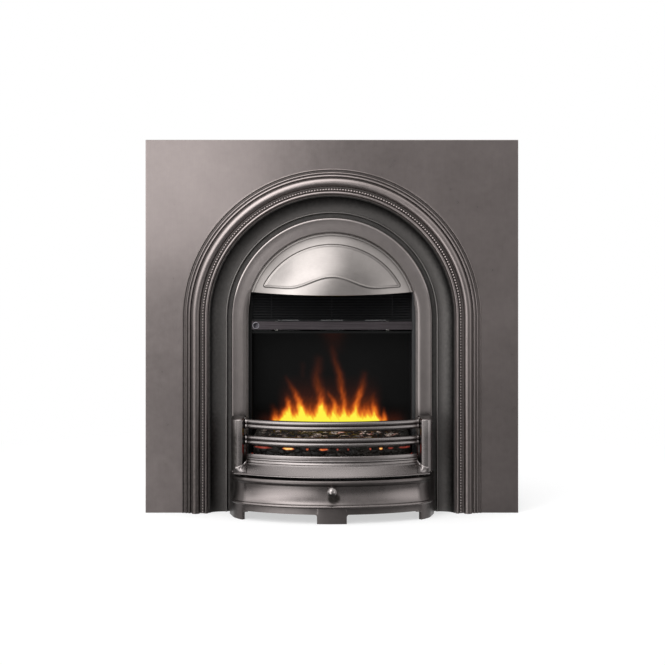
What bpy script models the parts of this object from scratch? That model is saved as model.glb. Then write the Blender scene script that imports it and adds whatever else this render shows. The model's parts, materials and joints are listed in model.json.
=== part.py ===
"""Electric fireplace insert: a square cast-iron front with an arch, a bowed fret and ash cover,
and an electric fire in a steel case behind them.

Metres, +Z up, the viewer on the -Y side. Every piece is modelled from the front face of the
cast plate (y = 0, positive to the rear) and hangs on one empty, which puts the origin under
the middle of the whole insert.
"""

import math

import bmesh
import bpy
from mathutils import Matrix, Vector

for old in list(bpy.data.objects):
    bpy.data.objects.remove(old, do_unlink=True)

# Gaps
GAP = 0.0003
RUNNING = 0.0004
FLAT_ANGLE = math.radians(0.05)

# Cast front
PLATE_WIDTH = 0.965
PLATE_HEIGHT = 0.965
PLATE_THICKNESS = 0.006
SPRING_HEIGHT = 0.503
OPENING_RADIUS = 0.223
BAND_WIDTH = 0.039
RECESS_WIDTH = 0.013
COVE_WIDTH = 0.042
COVE_RIM = 0.002
COVE_PROUD = 0.002
COVE_FALL = 0.020
COVE_INSET = 0.006
COVE_STEPS = 6
RECESS_LIP = 0.002
RECESS_LIP_DEPTH = 0.0165
CAST_WALL = 0.004
REVEAL_DEPTH = 0.0223
REVEAL_FLANGE = 0.028
LEDGE_WIDTH = 0.009
FRAME_THICKNESS = 0.012
FRAME_BEAD_WIDTH = 0.005
FRAME_BEAD_PROUD = 0.003
FRAME_STEP_WIDTH = 0.006
FRAME_STEP_DEPTH = 0.0035
ARCH_STEPS = 25

FRAME_OUTER_RADIUS = OPENING_RADIUS + BAND_WIDTH
RECESS_RADIUS = FRAME_OUTER_RADIUS + RECESS_WIDTH
REVEAL_OUTER_RADIUS = RECESS_RADIUS + COVE_WIDTH - GAP
MOULDING_INNER_RADIUS = REVEAL_OUTER_RADIUS + GAP
FRAME_BACK = REVEAL_DEPTH - GAP
FRAME_FACE = FRAME_BACK - FRAME_THICKNESS
LEDGE_BACK = REVEAL_DEPTH + CAST_WALL
FLANGE_FACE = PLATE_THICKNESS + GAP

# Members of the arched moulding from its outer edge inward: shape, width, foot height, height
MOULDING = (
    ("round", 0.0030, 0.0030, 0.0050),
    ("flat", 0.0055, 0.0025, 0.0025),
    ("round", 0.0040, 0.0030, 0.0065),
    ("flat", 0.0025, 0.0030, 0.0030),
    ("round", 0.0060, 0.0040, 0.0085),
    ("flat", 0.0020, 0.0050, 0.0050),
    ("round", 0.0220, 0.0060, 0.0180),
    ("flat", 0.0050, 0.0060, 0.0060),
    ("round", 0.0074, 0.0065, 0.0100),
    ("flat", 0.0010, 0.0060, 0.0060),
    ("round", 0.0110, 0.0060, 0.0130),
    ("flat", 0.0020, 0.0030, 0.0030),
)
MOULDING_WIDTH = sum(member[1] for member in MOULDING)
MOULDING_OUTER_RADIUS = MOULDING_INNER_RADIUS + MOULDING_WIDTH
MOULDING_ROOT = 0.003
WIDE_ROLL = 0.010

BELOW_HEARTH = 0.02

# Screws: head radius, head height, shank radius, reach forward of the seat
BOLT = (0.0065, 0.004, 0.003, 0.008)
FRAME_SCREW = (0.004, 0.003, 0.0018, 0.010)
SHORT_SCREW = (0.004, 0.003, 0.0018, 0.008)
SHEET_SCREW = (0.004, 0.002, 0.0016, 0.006)

# Cast lugs behind the plate
LUG_CLEARANCE = 0.035
LUG_HEIGHTS = (0.20, 0.80)
LUG_HEIGHT = 0.030
LUG_WALL = 0.005
LUG_BACK = 0.040
LUG_HOLE_RADIUS = 0.004
BOLT_ANGLES = (32, 90, 148)
FRAME_SCREW_HEIGHTS = (0.15, 0.40)

# Hood
HOOD_WALL = 0.004
HOOD_END_HEIGHT = 0.571
HOOD_DIP = 0.007
HOOD_BULGE = 0.070
HOOD_FULLNESS = 0.9
HOOD_RIM_FACE = FRAME_FACE + FRAME_STEP_DEPTH
HOOD_RADIUS = OPENING_RADIUS * math.cos(math.pi / ARCH_STEPS / 2) - GAP
HOOD_EAR_ANGLES = (60, 120)
HOOD_EAR_REACH = 0.022
HOOD_EAR_HALF_WIDTH = 0.010
HOOD_EAR_WALL = 0.003
HOOD_EAR_FACE = FRAME_BACK + GAP
HOOD_SKIRT_BACK = HOOD_EAR_FACE + HOOD_EAR_WALL + 0.001

# Bow shared by the bars, the shelf and the ash cover
BOW_FRONT = 0.118
BOW_RADIUS = 0.430
BOW_CENTRE = BOW_RADIUS - BOW_FRONT
BOW_STEPS = 13

# Fret
POST_INNER = 0.230
POST_WIDTH = 0.028
POST_FRONT = 0.084
POST_DEPTH = 0.048
POST_CAP_DROP = 0.008
ROLL_RADIUS = 0.006
ROLL_SPACING = 0.0115
BAR_BACK = 0.006
LOWER_BAR_HEIGHT = 0.1972
BAR_SPACING = 0.0406
POST_ABOVE_BAR = 0.0172
UPPER_BAR_HEIGHT = LOWER_BAR_HEIGHT + BAR_SPACING
POST_TOP = UPPER_BAR_HEIGHT + POST_ABOVE_BAR
SHELF_END_HEIGHT = 0.118
SHELF_PAD_WALL = 0.008
SHELF_PAD_INNER = 0.222
CHEEK_INNER = 0.233
CHEEK_WIDTH = 0.012
CHEEK_FRONT = 0.050
PAD_REAR = 0.030
POST_ROUNDING = 0.005
# Section of the shelf, in front of the bow line and above the hearth
SHELF_SECTION = (
    (-0.0080, 0.1630),
    (0.0000, 0.1630),
    (0.0015, 0.1610),
    (0.0020, 0.1540),
    (0.0050, 0.1520),
    (0.0055, 0.1490),
    (0.0040, 0.1470),
    (0.0060, 0.1420),
    (0.0090, 0.1400),
    (0.0100, 0.1375),
    (0.0120, 0.1360),
    (0.0340, 0.1205),
    (0.0370, 0.1185),
    (0.0375, 0.1150),
    (0.0355, 0.1120),
    (0.0310, 0.1120),
    (0.0290, 0.1170),
    (0.0080, 0.1310),
    (0.0010, 0.1370),
    (-0.0030, 0.1450),
    (-0.0080, 0.1500),
)

# Ash cover
COVER_AHEAD = 0.033
COVER_HALF_WIDTH = 0.261
COVER_CORNER = 0.048
COVER_WALL = 0.009
FOOT_HEIGHT = 0.023
CENTRE_FOOT_HALF_WIDTH = 0.037
SIDE_FOOT_INNER = 0.223
NOTCH_CORNER = 0.006
# Outer face of the ash cover, ahead of its plan line and above the hearth
COVER_FACE = (
    (0.0010, 0.0000),
    (0.0014, 0.0230),
    (0.0020, 0.0360),
    (0.0048, 0.0375),
    (0.0052, 0.0405),
    (0.0036, 0.0430),
    (0.0010, 0.0450),
    (-0.0020, 0.0540),
    (-0.0038, 0.0680),
    (-0.0036, 0.0800),
    (-0.0022, 0.0900),
    (-0.0018, 0.0950),
    (0.0020, 0.0965),
    (0.0044, 0.0990),
    (0.0052, 0.1020),
    (0.0044, 0.1050),
    (0.0020, 0.1075),
    (-0.0020, 0.1080),
)
BOSS_RADIUS = 0.0105
BOSS_PROUD = 0.0035
KNOB_HEIGHT = 0.084
KNOB_BALL_RADIUS = 0.0135
KNOB_COLLAR_RADIUS = 0.008
KNOB_COLLAR_LENGTH = 0.003
KNOB_NECK_RADIUS = 0.005
KNOB_NECK_LENGTH = 0.005

# Steel case
CASE_HALF_WIDTH = 0.218
CASE_WALL = 0.0015
CASE_BOTTOM = 0.008
CASE_TOP = 0.590
CASE_BACK = 0.180
CASE_FLANGE_HALF_WIDTH = 0.246
CASE_FLANGE_BOTTOM = 0.020
CASE_FLANGE_TOP = 0.545
REAR_FLANGE = 0.012
COVER_SHEET = 0.0012
CASE_FRONT = FRAME_BACK + GAP
CASE_INNER = CASE_HALF_WIDTH - CASE_WALL
FLOOR = CASE_BOTTOM + CASE_WALL
CEILING = CASE_TOP - CASE_WALL
FOOT_RAIL_WIDTH = 0.022
FOOT_RAIL_INSET = 0.030
NOTCH_CLEARANCE = 0.010
REAR_COVER_INSET = 0.0005
REAR_SCREW_INSET = 0.060
SLOT_HALF_LENGTH = 0.030
SLOT_HALF_HEIGHT = 0.002
SLOT_COLUMNS = (-0.12, 0, 0.12)
SLOT_LOWEST = 0.490
SLOT_SPACING = 0.014
SLOT_ROWS = 4
EARTH_STUD = (0.180, 0.150)
EARTH_STUD_RADIUS = 0.004
EARTH_STUD_LENGTH = 0.014

# Front of the electric fire
SHEET = 0.0015
TRIM_INNER = 0.209
TRIM_FACE = 0.028
TRAY_HEIGHT = 0.150
TRAY_FLANGE = 0.020
SCREEN_FACE = 0.096
SCREEN_THICKNESS = 0.004
CHAMBER_TOP = 0.465
CHAMBER_LIP = 0.0025
CHAMBER_FACE = 0.030
DECK_BOTTOM = CHAMBER_TOP + SHEET + GAP
DECK_TOP = DECK_BOTTOM + COVER_SHEET
DECK_FRONT = 0.029
FASCIA_FACE = 0.026
FASCIA_DEPTH = 0.0055
FASCIA_BOTTOM = 0.4724
FASCIA_TOP = 0.4932
GRILLE_FACE = 0.034
GRILLE_DEPTH = 0.010
SLAT_PITCH = 0.007
SLAT_THICKNESS = 0.0016
DIVIDER_THICKNESS = 0.002
DIVIDER_SPACING = 0.158
GRILLE_RAIL = 0.010
GRILLE_FOOT = 0.003
BUTTON_X = -0.198
BUTTON_RADIUS = 0.0066
BUTTON_TRAVEL = 0.002
BUTTON_PROUD = 0.0015
BEZEL_RADIUS = 0.0090
BEZEL_PROUD = 0.0010
BUTTON_COLLAR = 0.0015
BUTTON_STEM = 0.003
SWITCH_HALF_WIDTH = 0.006
SWITCH_DEPTH = 0.012
SWITCH_RISE = 0.007
SENSOR_LEFT = 0.019
SENSOR_RIGHT = 0.028
SENSOR_DEPTH = 0.005
BOARD_LEFT = -0.207
BOARD_RIGHT = -0.158
BOARD_BACK = 0.110
BOARD_RISE = 0.0048
CARRIER_WALL = 0.0015
CARRIER_POST_RADIUS = 0.003
CARRIER_POST_INSET = 0.005
SCREEN_BACK = SCREEN_FACE + SCREEN_THICKNESS
FASCIA_MIDDLE = (FASCIA_BOTTOM + FASCIA_TOP) / 2

# Fuel bed
FUEL_BEHIND_BOW = 0.022
FUEL_CLEARANCE = 0.009
FUEL_HALF_WIDTH = TRIM_INNER - FUEL_CLEARANCE
TRAY_MARGIN = 0.004
FUEL_HEIGHT = 0.058
FUEL_LUMP = 0.008
FUEL_BACK = 0.092

# Flame effect behind the screen
SHELF_HEIGHT = 0.1395
SHELF_FRONT = 0.104
SHELF_BACK = 0.176
SPINDLE_RADIUS = 0.0025
SPINDLE_DEPTH = 0.135
SPINDLE_HEIGHT = 0.195
SPINDLE_LEFT = -0.190
SPINDLE_RIGHT = 0.170
PETAL_LENGTH = 0.014
PETAL_REACH = 0.014
PETAL_PITCH = 0.020
PETAL_TURN = math.radians(50)
PETAL_THICKNESS = 0.0010
BEARING_WIDTH = 0.006
SPINDLE_MOTOR_RADIUS = 0.018
SPINDLE_MOTOR_LENGTH = 0.022
MOTOR_OVERLAP = 0.006
STAND_HALF_DEPTH = 0.010
STAND_RISE = 0.010
SHELF_FLANGE = 0.020
LAMP_BOARD_HALF_DEPTH = 0.020
LAMP_BOARD_INSET = 0.015
BOARD_THICKNESS = 0.0016
LAMP_RADIUS = 0.003
LAMP_HEIGHT = 0.004
LAMP_SPACING = 0.028
LAMPS = 12
FIRST_LAMP_INSET = 0.026

# Heater above the deck
BLOWER_DEPTH = 0.125
BLOWER_HEIGHT = 0.528
WHEEL_RADIUS = 0.0275
WHEEL_HALF_LENGTH = 0.130
BLADES = 12
BLADE_DEPTH = 0.006
BLADE_THICKNESS = 0.001
DISC_THICKNESS = 0.002
AXLE_RADIUS = 0.003
SCROLL_RADIUS = 0.036
END_PLATE_INNER = 0.134
END_PLATE_WALL = 0.002
END_PLATE_REACH = 0.040
BUSH_RADIUS = 0.006
BLOWER_MOTOR_RADIUS = 0.024
BLOWER_MOTOR_LENGTH = 0.040
ELEMENT_HALF_WIDTH = 0.150
ELEMENT_FACE = 0.052
ELEMENT_DEPTH = 0.010
ELEMENT_BOTTOM = 0.500
ELEMENT_TOP = 0.582
ELEMENT_BORDER = 0.008
WIRE_RADIUS = 0.0012
WIRES = 8
CUTOUT_SPOT = (0.170, 0.075)
CUTOUT_RADIUS = 0.009
CUTOUT_HEIGHT = 0.009

# Services on the floor of the case
INLET_X = 0.150
INLET_HEIGHT = 0.060
INLET_INSET = 0.010
INLET_BORE = 0.004
TERMINAL_LOW = (0.100, 0.140)
TERMINAL_HIGH = (0.145, 0.160)
TERMINAL_HEIGHT = 0.018
DRIVER_LOW = (-0.180, 0.060)
DRIVER_HIGH = (-0.100, 0.110)
DRIVER_HEIGHT = 0.030

# How far the insert reaches before and behind the plate's face
INLET_RADIUS = 0.010
INLET_FLANGE_RADIUS = 0.013
INLET_FLANGE = 0.002
INLET_TAIL = 0.012
REAR_COVER_FACE = CASE_BACK + GAP
REAR_COVER_BACK = REAR_COVER_FACE + COVER_SHEET
INLET_BACK = REAR_COVER_BACK + GAP + INLET_FLANGE + INLET_TAIL
COVER_FRONT = BOW_FRONT + COVER_AHEAD
KNOB_SEAT = COVER_FRONT + BOSS_PROUD + GAP
KNOB_TIP = KNOB_SEAT + KNOB_COLLAR_LENGTH + KNOB_NECK_LENGTH + 2 * KNOB_BALL_RADIUS
PLATE_FACE_Y = (KNOB_TIP - INLET_BACK) / 2

PARTS = bpy.data.collections.new("electric_fireplace_insert")
CUTTERS = bpy.data.collections.new("cutters")
for group in (PARTS, CUTTERS):
    bpy.context.scene.collection.children.link(group)

INSERT = bpy.data.objects.new("insert_centre", None)
INSERT.location = (0, PLATE_FACE_Y, 0)
PARTS.objects.link(INSERT)


def finish(name, colour, roughness, metallic):
    """A plain surface finish."""
    material = bpy.data.materials.new(name)
    material.use_nodes = True
    shader = material.node_tree.nodes["Principled BSDF"]
    shader.inputs["Base Color"].default_value = (*colour, 1)
    shader.inputs["Roughness"].default_value = roughness
    shader.inputs["Metallic"].default_value = metallic
    return material


POLISHED_IRON = finish("polished_iron", (0.17, 0.155, 0.15), 0.32, 1.0)
BLACK_IRON = finish("black_iron", (0.03, 0.03, 0.03), 0.55, 0.6)
BLACK_STEEL = finish("black_steel", (0.02, 0.02, 0.022), 0.5, 0.3)
ZINC_STEEL = finish("zinc_steel", (0.5, 0.5, 0.5), 0.4, 1.0)
BRUSHED_FASCIA = finish("brushed_fascia", (0.06, 0.055, 0.058), 0.35, 0.9)
BRIGHT_KNOB = finish("bright_knob", (0.35, 0.33, 0.32), 0.2, 1.0)
DARK_GLASS = finish("dark_glass", (0.004, 0.004, 0.004), 0.1, 0.0)
BLACK_PLASTIC = finish("black_plastic", (0.02, 0.02, 0.02), 0.4, 0.0)
COAL = finish("coal", (0.015, 0.012, 0.01), 0.8, 0.0)
CIRCUIT_GREEN = finish("circuit_green", (0.02, 0.12, 0.05), 0.5, 0.0)
BRASS = finish("brass", (0.6, 0.45, 0.15), 0.3, 1.0)
CERAMIC = finish("ceramic", (0.75, 0.73, 0.68), 0.7, 0.0)
BRIGHT_FOIL = finish("bright_foil", (0.8, 0.8, 0.8), 0.1, 1.0)
WHITE_PLASTIC = finish("white_plastic", (0.7, 0.7, 0.68), 0.5, 0.0)


def add_box(bm, low, high):
    """A box between two corners."""
    low, high = Vector(low), Vector(high)
    size = high - low
    made = bmesh.ops.create_cube(bm, size=1)["verts"]
    bmesh.ops.scale(bm, verts=made, vec=size)
    bmesh.ops.translate(bm, verts=made, vec=(low + high) / 2)
    return made


def add_rod(bm, start, end, radius, sides=12, end_radius=None):
    """A capped cylinder or cone between two points."""
    start, end = Vector(start), Vector(end)
    along = end - start
    made = bmesh.ops.create_cone(
        bm,
        cap_ends=True,
        segments=sides,
        radius1=radius,
        radius2=radius if end_radius is None else end_radius,
        depth=along.length,
    )["verts"]
    turn = along.to_track_quat("Z", "Y").to_matrix()
    bmesh.ops.rotate(bm, verts=made, cent=(0, 0, 0), matrix=turn)
    bmesh.ops.translate(bm, verts=made, vec=(start + end) / 2)
    return made


def make_object(name, mesh, material=None, origin=(0, 0, 0)):
    """A piece when it has a material, and otherwise a cutter or a shape to join."""
    origin = Vector(origin)
    mesh.transform(Matrix.Translation(-origin))
    piece = bpy.data.objects.new(name, mesh)
    piece.location = origin
    piece.parent = INSERT
    if material is None:
        CUTTERS.objects.link(piece)
        piece.hide_render = True
        piece.display_type = "WIRE"
    else:
        mesh.materials.append(material)
        mesh.shade_smooth()
        mesh.set_sharp_from_angle(angle=math.radians(35))
        PARTS.objects.link(piece)
    return piece


def solid(name, shapes, material=None, origin=(0, 0, 0)):
    """One mesh from a list of functions that each add a shape to it."""
    bm = bmesh.new()
    for shape in shapes:
        shape(bm)
    mesh = bpy.data.meshes.new(name)
    bm.to_mesh(mesh)
    bm.free()
    return make_object(name, mesh, material, origin)


def boxes(name, corners, material=None):
    """Separate boxes, with the origin in the middle of the first."""
    low, high = corners[0]
    middle = (Vector(low) + Vector(high)) / 2
    shapes = [lambda bm, pair=pair: add_box(bm, *pair) for pair in corners]
    return solid(name, shapes, material, middle)


def rods(name, spans, radius, material=None, sides=12):
    """Separate rods of one radius, with the origin at the start of the first."""
    shapes = [lambda bm, span=span: add_rod(bm, *span, radius, sides) for span in spans]
    return solid(name, shapes, material, spans[0][0])


def apply_boolean(piece, tool, operation):
    """A Boolean modifier that joins or cuts."""
    modifier = piece.modifiers.new(tool.name, "BOOLEAN")
    modifier.operation = operation
    modifier.object = tool
    modifier.solver = "EXACT"
    modifier.use_hole_tolerant = True


def join(piece, tool):
    """The tool's volume added to the piece."""
    apply_boolean(piece, tool, "UNION")


def cut(piece, tool):
    """The tool's volume taken from the piece."""
    apply_boolean(piece, tool, "DIFFERENCE")


def flat_curve(name, points, closed):
    """A curve of straight runs in its own plane."""
    curve = bpy.data.curves.new(name, "CURVE")
    curve.dimensions = "2D"
    spline = curve.splines.new("POLY")
    spline.points.add(len(points) - 1)
    for knot, point in zip(spline.points, points):
        knot.co = (point[0], point[1], 0, 1)
    spline.use_cyclic_u = closed
    return curve


def mesh_from_curve(name, curve, turn):
    """A curve's evaluated surface as a closed mesh with its faces out."""
    guide = bpy.data.objects.new(name, curve)
    bpy.context.scene.collection.objects.link(guide)
    bpy.context.view_layer.update()
    graph = bpy.context.evaluated_depsgraph_get()
    mesh = bpy.data.meshes.new_from_object(guide.evaluated_get(graph))
    bpy.data.objects.remove(guide)
    bm = bmesh.new()
    bm.from_mesh(mesh)
    bmesh.ops.remove_doubles(bm, verts=bm.verts, dist=0.00002)
    bmesh.ops.dissolve_limit(bm, angle_limit=FLAT_ANGLE, verts=bm.verts, edges=bm.edges)
    bmesh.ops.recalc_face_normals(bm, faces=bm.faces)
    bm.to_mesh(mesh)
    bm.free()
    mesh.transform(turn)
    mesh.name = name
    return mesh


UPRIGHT = Matrix.Rotation(math.pi / 2, 4, "X")
LEVEL = Matrix.Identity(4)


def swept(name, path, section, turn, material=None):
    """A closed section carried along a flat path. The section's first number runs to the right of
    the path's travel and its second along the plane's normal."""
    rail = flat_curve(name, path, closed=False)
    shape = bpy.data.objects.new(name + "_section", flat_curve(name + "_section", section, True))
    bpy.context.scene.collection.objects.link(shape)
    rail.bevel_mode = "OBJECT"
    rail.bevel_object = shape
    rail.use_fill_caps = True
    mesh = mesh_from_curve(name, rail, turn)
    bpy.data.objects.remove(shape)
    return make_object(name, mesh, material)


def sheet(name, outline, low, high, turn, material=None):
    """A flat outline with a thickness, from low to high along the plane's normal."""
    curve = flat_curve(name, outline, closed=True)
    curve.fill_mode = "BOTH"
    curve.extrude = (high - low) / 2
    mesh = mesh_from_curve(name, curve, turn @ Matrix.Translation((0, 0, (low + high) / 2)))
    return make_object(name, mesh, material)


def arc(centre, radius, start, end, steps):
    """Points on an arc, angles in radians from +x towards +y."""
    turns = [start + (end - start) * step / steps for step in range(steps + 1)]
    return [(centre[0] + radius * math.cos(a), centre[1] + radius * math.sin(a)) for a in turns]


def arch_path(radius, foot=0):
    """Up the left leg, over the arch and down the right leg."""
    over = arc((0, SPRING_HEIGHT), radius, math.pi, 0, ARCH_STEPS)
    return [(-radius, foot)] + over + [(radius, foot)]


def arch_points(radius, angles, heights):
    """Points on the arch at angles in degrees, and on both legs at heights."""
    turns = [math.radians(a) for a in angles]
    crown = [(radius * math.cos(a), SPRING_HEIGHT + radius * math.sin(a)) for a in turns]
    return crown + [(side * radius, z) for z in heights for side in (-1, 1)]


def rear_screws(name, points, seat, size, sides=8):
    """Screws put in from the rear, each its own piece: a head on the seat and a shank forward."""
    head_radius, head_height, shank_radius, reach = size
    head_face = seat + GAP
    for number, (x, z) in enumerate(points, 1):
        head = [((x, head_face, z), (x, head_face + head_height, z))]
        screw = rods(f"{name}_{number}", head, head_radius, ZINC_STEEL, sides)
        shank = [((x, seat - reach, z), (x, head_face + head_height / 2, z))]
        join(screw, rods(f"{name}_shank_{number}", shank, shank_radius, sides=sides))


def drill(name, pieces, points, start, end, radius, sides=8):
    """Round holes along y through or into each of the pieces."""
    tool = rods(name, [((x, start, z), (x, end, z)) for x, z in points], radius, sides=sides)
    for piece in pieces:
        cut(piece, tool)


def moulding_section():
    """The moulding's members as one closed outline, rooted inside the plate."""
    points = [(0, -MOULDING_ROOT)]
    across = 0
    for shape, width, foot, height in MOULDING:
        if shape == "flat":
            points += [(across + 0.0001, height), (across + width - 0.0001, height)]
        else:
            steps = 6 if width > WIDE_ROLL else 3
            for step in range(steps + 1):
                turn = math.pi * step / steps
                rise = foot + (height - foot) * math.sin(turn)
                points.append((across + width * (0.5 - 0.499 * math.cos(turn)), rise))
        across += width
    return points + [(across, MOULDING[-1][3]), (across, -MOULDING_ROOT)]


def make_surround_plate():
    """The square plate with its arched moulding, one casting open at the bottom."""
    half = PLATE_WIDTH / 2
    foot = -BELOW_HEARTH
    hole = arch_path(MOULDING_INNER_RADIUS + MOULDING[-1][1] / 2, foot)
    outline = [(-half, foot), (-half, PLATE_HEIGHT), (half, PLATE_HEIGHT), (half, foot)]
    plate = sheet(
        "surround_plate", outline + hole[::-1], -PLATE_THICKNESS, 0, UPRIGHT, POLISHED_IRON
    )
    path = arch_path(MOULDING_OUTER_RADIUS, foot / 2)
    join(plate, swept("moulding", path, moulding_section(), UPRIGHT))
    far = 2 * BELOW_HEARTH
    cut(plate, boxes("below_hearth", [((-PLATE_WIDTH, -far, -far), (PLATE_WIDTH, far, 0))]))
    return plate


def make_arch_reveal():
    """The black cove between the moulding and the inner frame, with its ledge and back flange."""
    across = COVE_WIDTH - COVE_INSET
    turns = [math.pi / 2 * step / COVE_STEPS for step in range(COVE_STEPS + 1)]
    cove = [
        (across - (across - COVE_RIM) * math.cos(t), COVE_PROUD - COVE_FALL * math.sin(t))
        for t in turns
    ]
    floor = COVE_PROUD - COVE_FALL
    lip = COVE_WIDTH - RECESS_LIP
    end = COVE_WIDTH + RECESS_WIDTH + LEDGE_WIDTH - 0.001
    section = [(0, COVE_PROUD)] + cove
    section += [(across + 0.001, -RECESS_LIP_DEPTH), (lip - 0.001, -RECESS_LIP_DEPTH), (lip, floor)]
    section += [(lip, -REVEAL_DEPTH), (end, -REVEAL_DEPTH), (end, -LEDGE_BACK)]
    section += [(across - 0.002, -LEDGE_BACK)]
    section += [(across / 2, floor - CAST_WALL), (across / 4, COVE_RIM / 2 + floor + 0.002)]
    section += [(CAST_WALL, -FLANGE_FACE - CAST_WALL), (-REVEAL_FLANGE, -FLANGE_FACE - CAST_WALL)]
    section += [(-REVEAL_FLANGE, -FLANGE_FACE), (0, -FLANGE_FACE)]
    return swept("arch_reveal", arch_path(REVEAL_OUTER_RADIUS), section, UPRIGHT, BLACK_IRON)


def make_inner_frame():
    """The flat arched frame with a raised outer bead and a stepped inner edge."""
    bead, proud = FRAME_BEAD_WIDTH, FRAME_FACE - FRAME_BEAD_PROUD
    step = BAND_WIDTH - FRAME_STEP_WIDTH
    section = [(0, -FRAME_BACK), (0, -FRAME_FACE), (0.2 * bead, -proud - 0.0006)]
    section += [(0.5 * bead, -proud), (0.8 * bead, -proud - 0.0006), (bead, -FRAME_FACE)]
    section += [(step, -FRAME_FACE), (step + 0.001, -FRAME_FACE - FRAME_STEP_DEPTH / 2)]
    section += [(step + 0.0025, -FRAME_FACE - FRAME_STEP_DEPTH / 2)]
    section += [(step + 0.003, -HOOD_RIM_FACE), (BAND_WIDTH, -HOOD_RIM_FACE)]
    section += [(BAND_WIDTH, -FRAME_BACK)]
    return swept("inner_frame", arch_path(FRAME_OUTER_RADIUS), section, UPRIGHT, POLISHED_IRON)


def hood_point(share, angle):
    """A point of the hood's face: share runs from the middle of its lower edge (0) to the arch (1)."""
    rim = (HOOD_RADIUS * math.cos(angle), SPRING_HEIGHT + HOOD_RADIUS * math.sin(angle))
    swell = max(0.0, 1 - share * share)
    x = share * rim[0]
    z = HOOD_END_HEIGHT + share * (rim[1] - HOOD_END_HEIGHT) - HOOD_DIP * swell
    return (x, HOOD_RIM_FACE - HOOD_BULGE * swell**HOOD_FULLNESS, z)


def make_hood():
    """A bowed shell that fills the top of the arch, with a skirt and two ears behind the frame."""
    rings, spokes = 7, 20
    low = math.asin((HOOD_END_HEIGHT - SPRING_HEIGHT) / HOOD_RADIUS)
    angles = [math.pi - low - (math.pi - 2 * low) * step / spokes for step in range(spokes + 1)]
    shares = [math.sin(math.pi / 2 * ring / rings) for ring in range(1, rings + 1)]
    bm = bmesh.new()
    pole = bm.verts.new(hood_point(0, math.pi / 2))
    rows = [[bm.verts.new(hood_point(share, angle)) for angle in angles] for share in shares]
    skirt = [(v.co.x, HOOD_SKIRT_BACK, v.co.z) for v in rows[-1]]
    rows.append([bm.verts.new(point) for point in skirt])
    for left, right in zip(rows[0], rows[0][1:]):
        bm.faces.new((pole, right, left))
    for inner, outer in zip(rows, rows[1:]):
        for i in range(spokes):
            bm.faces.new((inner[i], inner[i + 1], outer[i + 1], outer[i]))
    mesh = bpy.data.meshes.new("hood")
    bm.to_mesh(mesh)
    bm.free()
    hood = make_object("hood", mesh, POLISHED_IRON)
    shell = hood.modifiers.new("wall", "SOLIDIFY")
    shell.thickness = HOOD_WALL
    shell.offset = -1
    turns = [math.radians(angle) for angle in HOOD_EAR_ANGLES]
    ears = solid("hood_ears", [lambda bm, turn=turn: add_ear(bm, turn) for turn in turns])
    join(hood, ears)
    return hood


def add_ear(bm, angle):
    """A flat ear that runs outward from the hood's skirt behind the frame."""
    start, end = HOOD_RADIUS - HOOD_WALL / 2, HOOD_RADIUS + HOOD_EAR_REACH
    low = (start, HOOD_EAR_FACE, -HOOD_EAR_HALF_WIDTH)
    high = (end, HOOD_EAR_FACE + HOOD_EAR_WALL, HOOD_EAR_HALF_WIDTH)
    made = add_box(bm, low, high)
    turn = Matrix.Rotation(-angle, 3, "Y")
    bmesh.ops.rotate(bm, verts=made, cent=(0, 0, 0), matrix=turn)
    bmesh.ops.translate(bm, verts=made, vec=(0, 0, SPRING_HEIGHT))


def make_front_fixings(plate, reveal, frame, hood):
    """Screws of the cast front, and the cast lugs that hold it to the wall."""
    bolts = arch_points(REVEAL_OUTER_RADIUS + REVEAL_FLANGE / 2, BOLT_ANGLES, ())
    seat = FLANGE_FACE + CAST_WALL
    rear_screws("reveal_bolt", bolts, seat, BOLT, sides=6)
    drill("reveal_bolt_holes", (plate, reveal), bolts, *screw_span(seat, BOLT), screw_hole(BOLT))

    ledge = FRAME_OUTER_RADIUS - LEDGE_WIDTH / 2
    screws = arch_points(ledge, (), FRAME_SCREW_HEIGHTS)
    rear_screws("frame_screw", screws, LEDGE_BACK, FRAME_SCREW)
    span = screw_span(LEDGE_BACK, FRAME_SCREW)
    drill("frame_screw_holes", (reveal, frame), screws, *span, screw_hole(FRAME_SCREW))

    ears = arch_points(HOOD_RADIUS + 0.6 * HOOD_EAR_REACH, HOOD_EAR_ANGLES, ())
    back = HOOD_EAR_FACE + HOOD_EAR_WALL
    rear_screws("hood_screw", ears, back, SHORT_SCREW)
    span = screw_span(back, SHORT_SCREW)
    drill("hood_screw_holes", (hood, frame), ears, *span, screw_hole(SHORT_SCREW))

    lug_x = REVEAL_OUTER_RADIUS + REVEAL_FLANGE + LUG_CLEARANCE
    spots = [(side * lug_x, z) for side in (-1, 1) for z in LUG_HEIGHTS]
    root = PLATE_THICKNESS / 2
    wall, rise = LUG_WALL / 2, LUG_HEIGHT / 2
    lugs = [((x - wall, root, z - rise), (x + wall, LUG_BACK, z + rise)) for x, z in spots]
    join(plate, boxes("wall_lugs", lugs))
    middle = (PLATE_THICKNESS + LUG_BACK) / 2
    holes = [((x - 2 * wall, middle, z), (x + 2 * wall, middle, z)) for x, z in spots]
    cut(plate, rods("lug_holes", holes, LUG_HOLE_RADIUS))


def screw_span(seat, size):
    """Where a screw's hole starts and ends along y, a little past its shank and seat."""
    return seat - size[3] - 0.001, seat + 0.002


def screw_hole(size):
    """Radius of the hole round a screw's shank."""
    return size[2] + GAP


def bow_path(radius, half_width, steps=BOW_STEPS):
    """An arc of the shared bow from left to right."""
    half = math.asin(half_width / radius)
    return arc((0, BOW_CENTRE), radius, -math.pi / 2 - half, -math.pi / 2 + half, steps)


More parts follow.
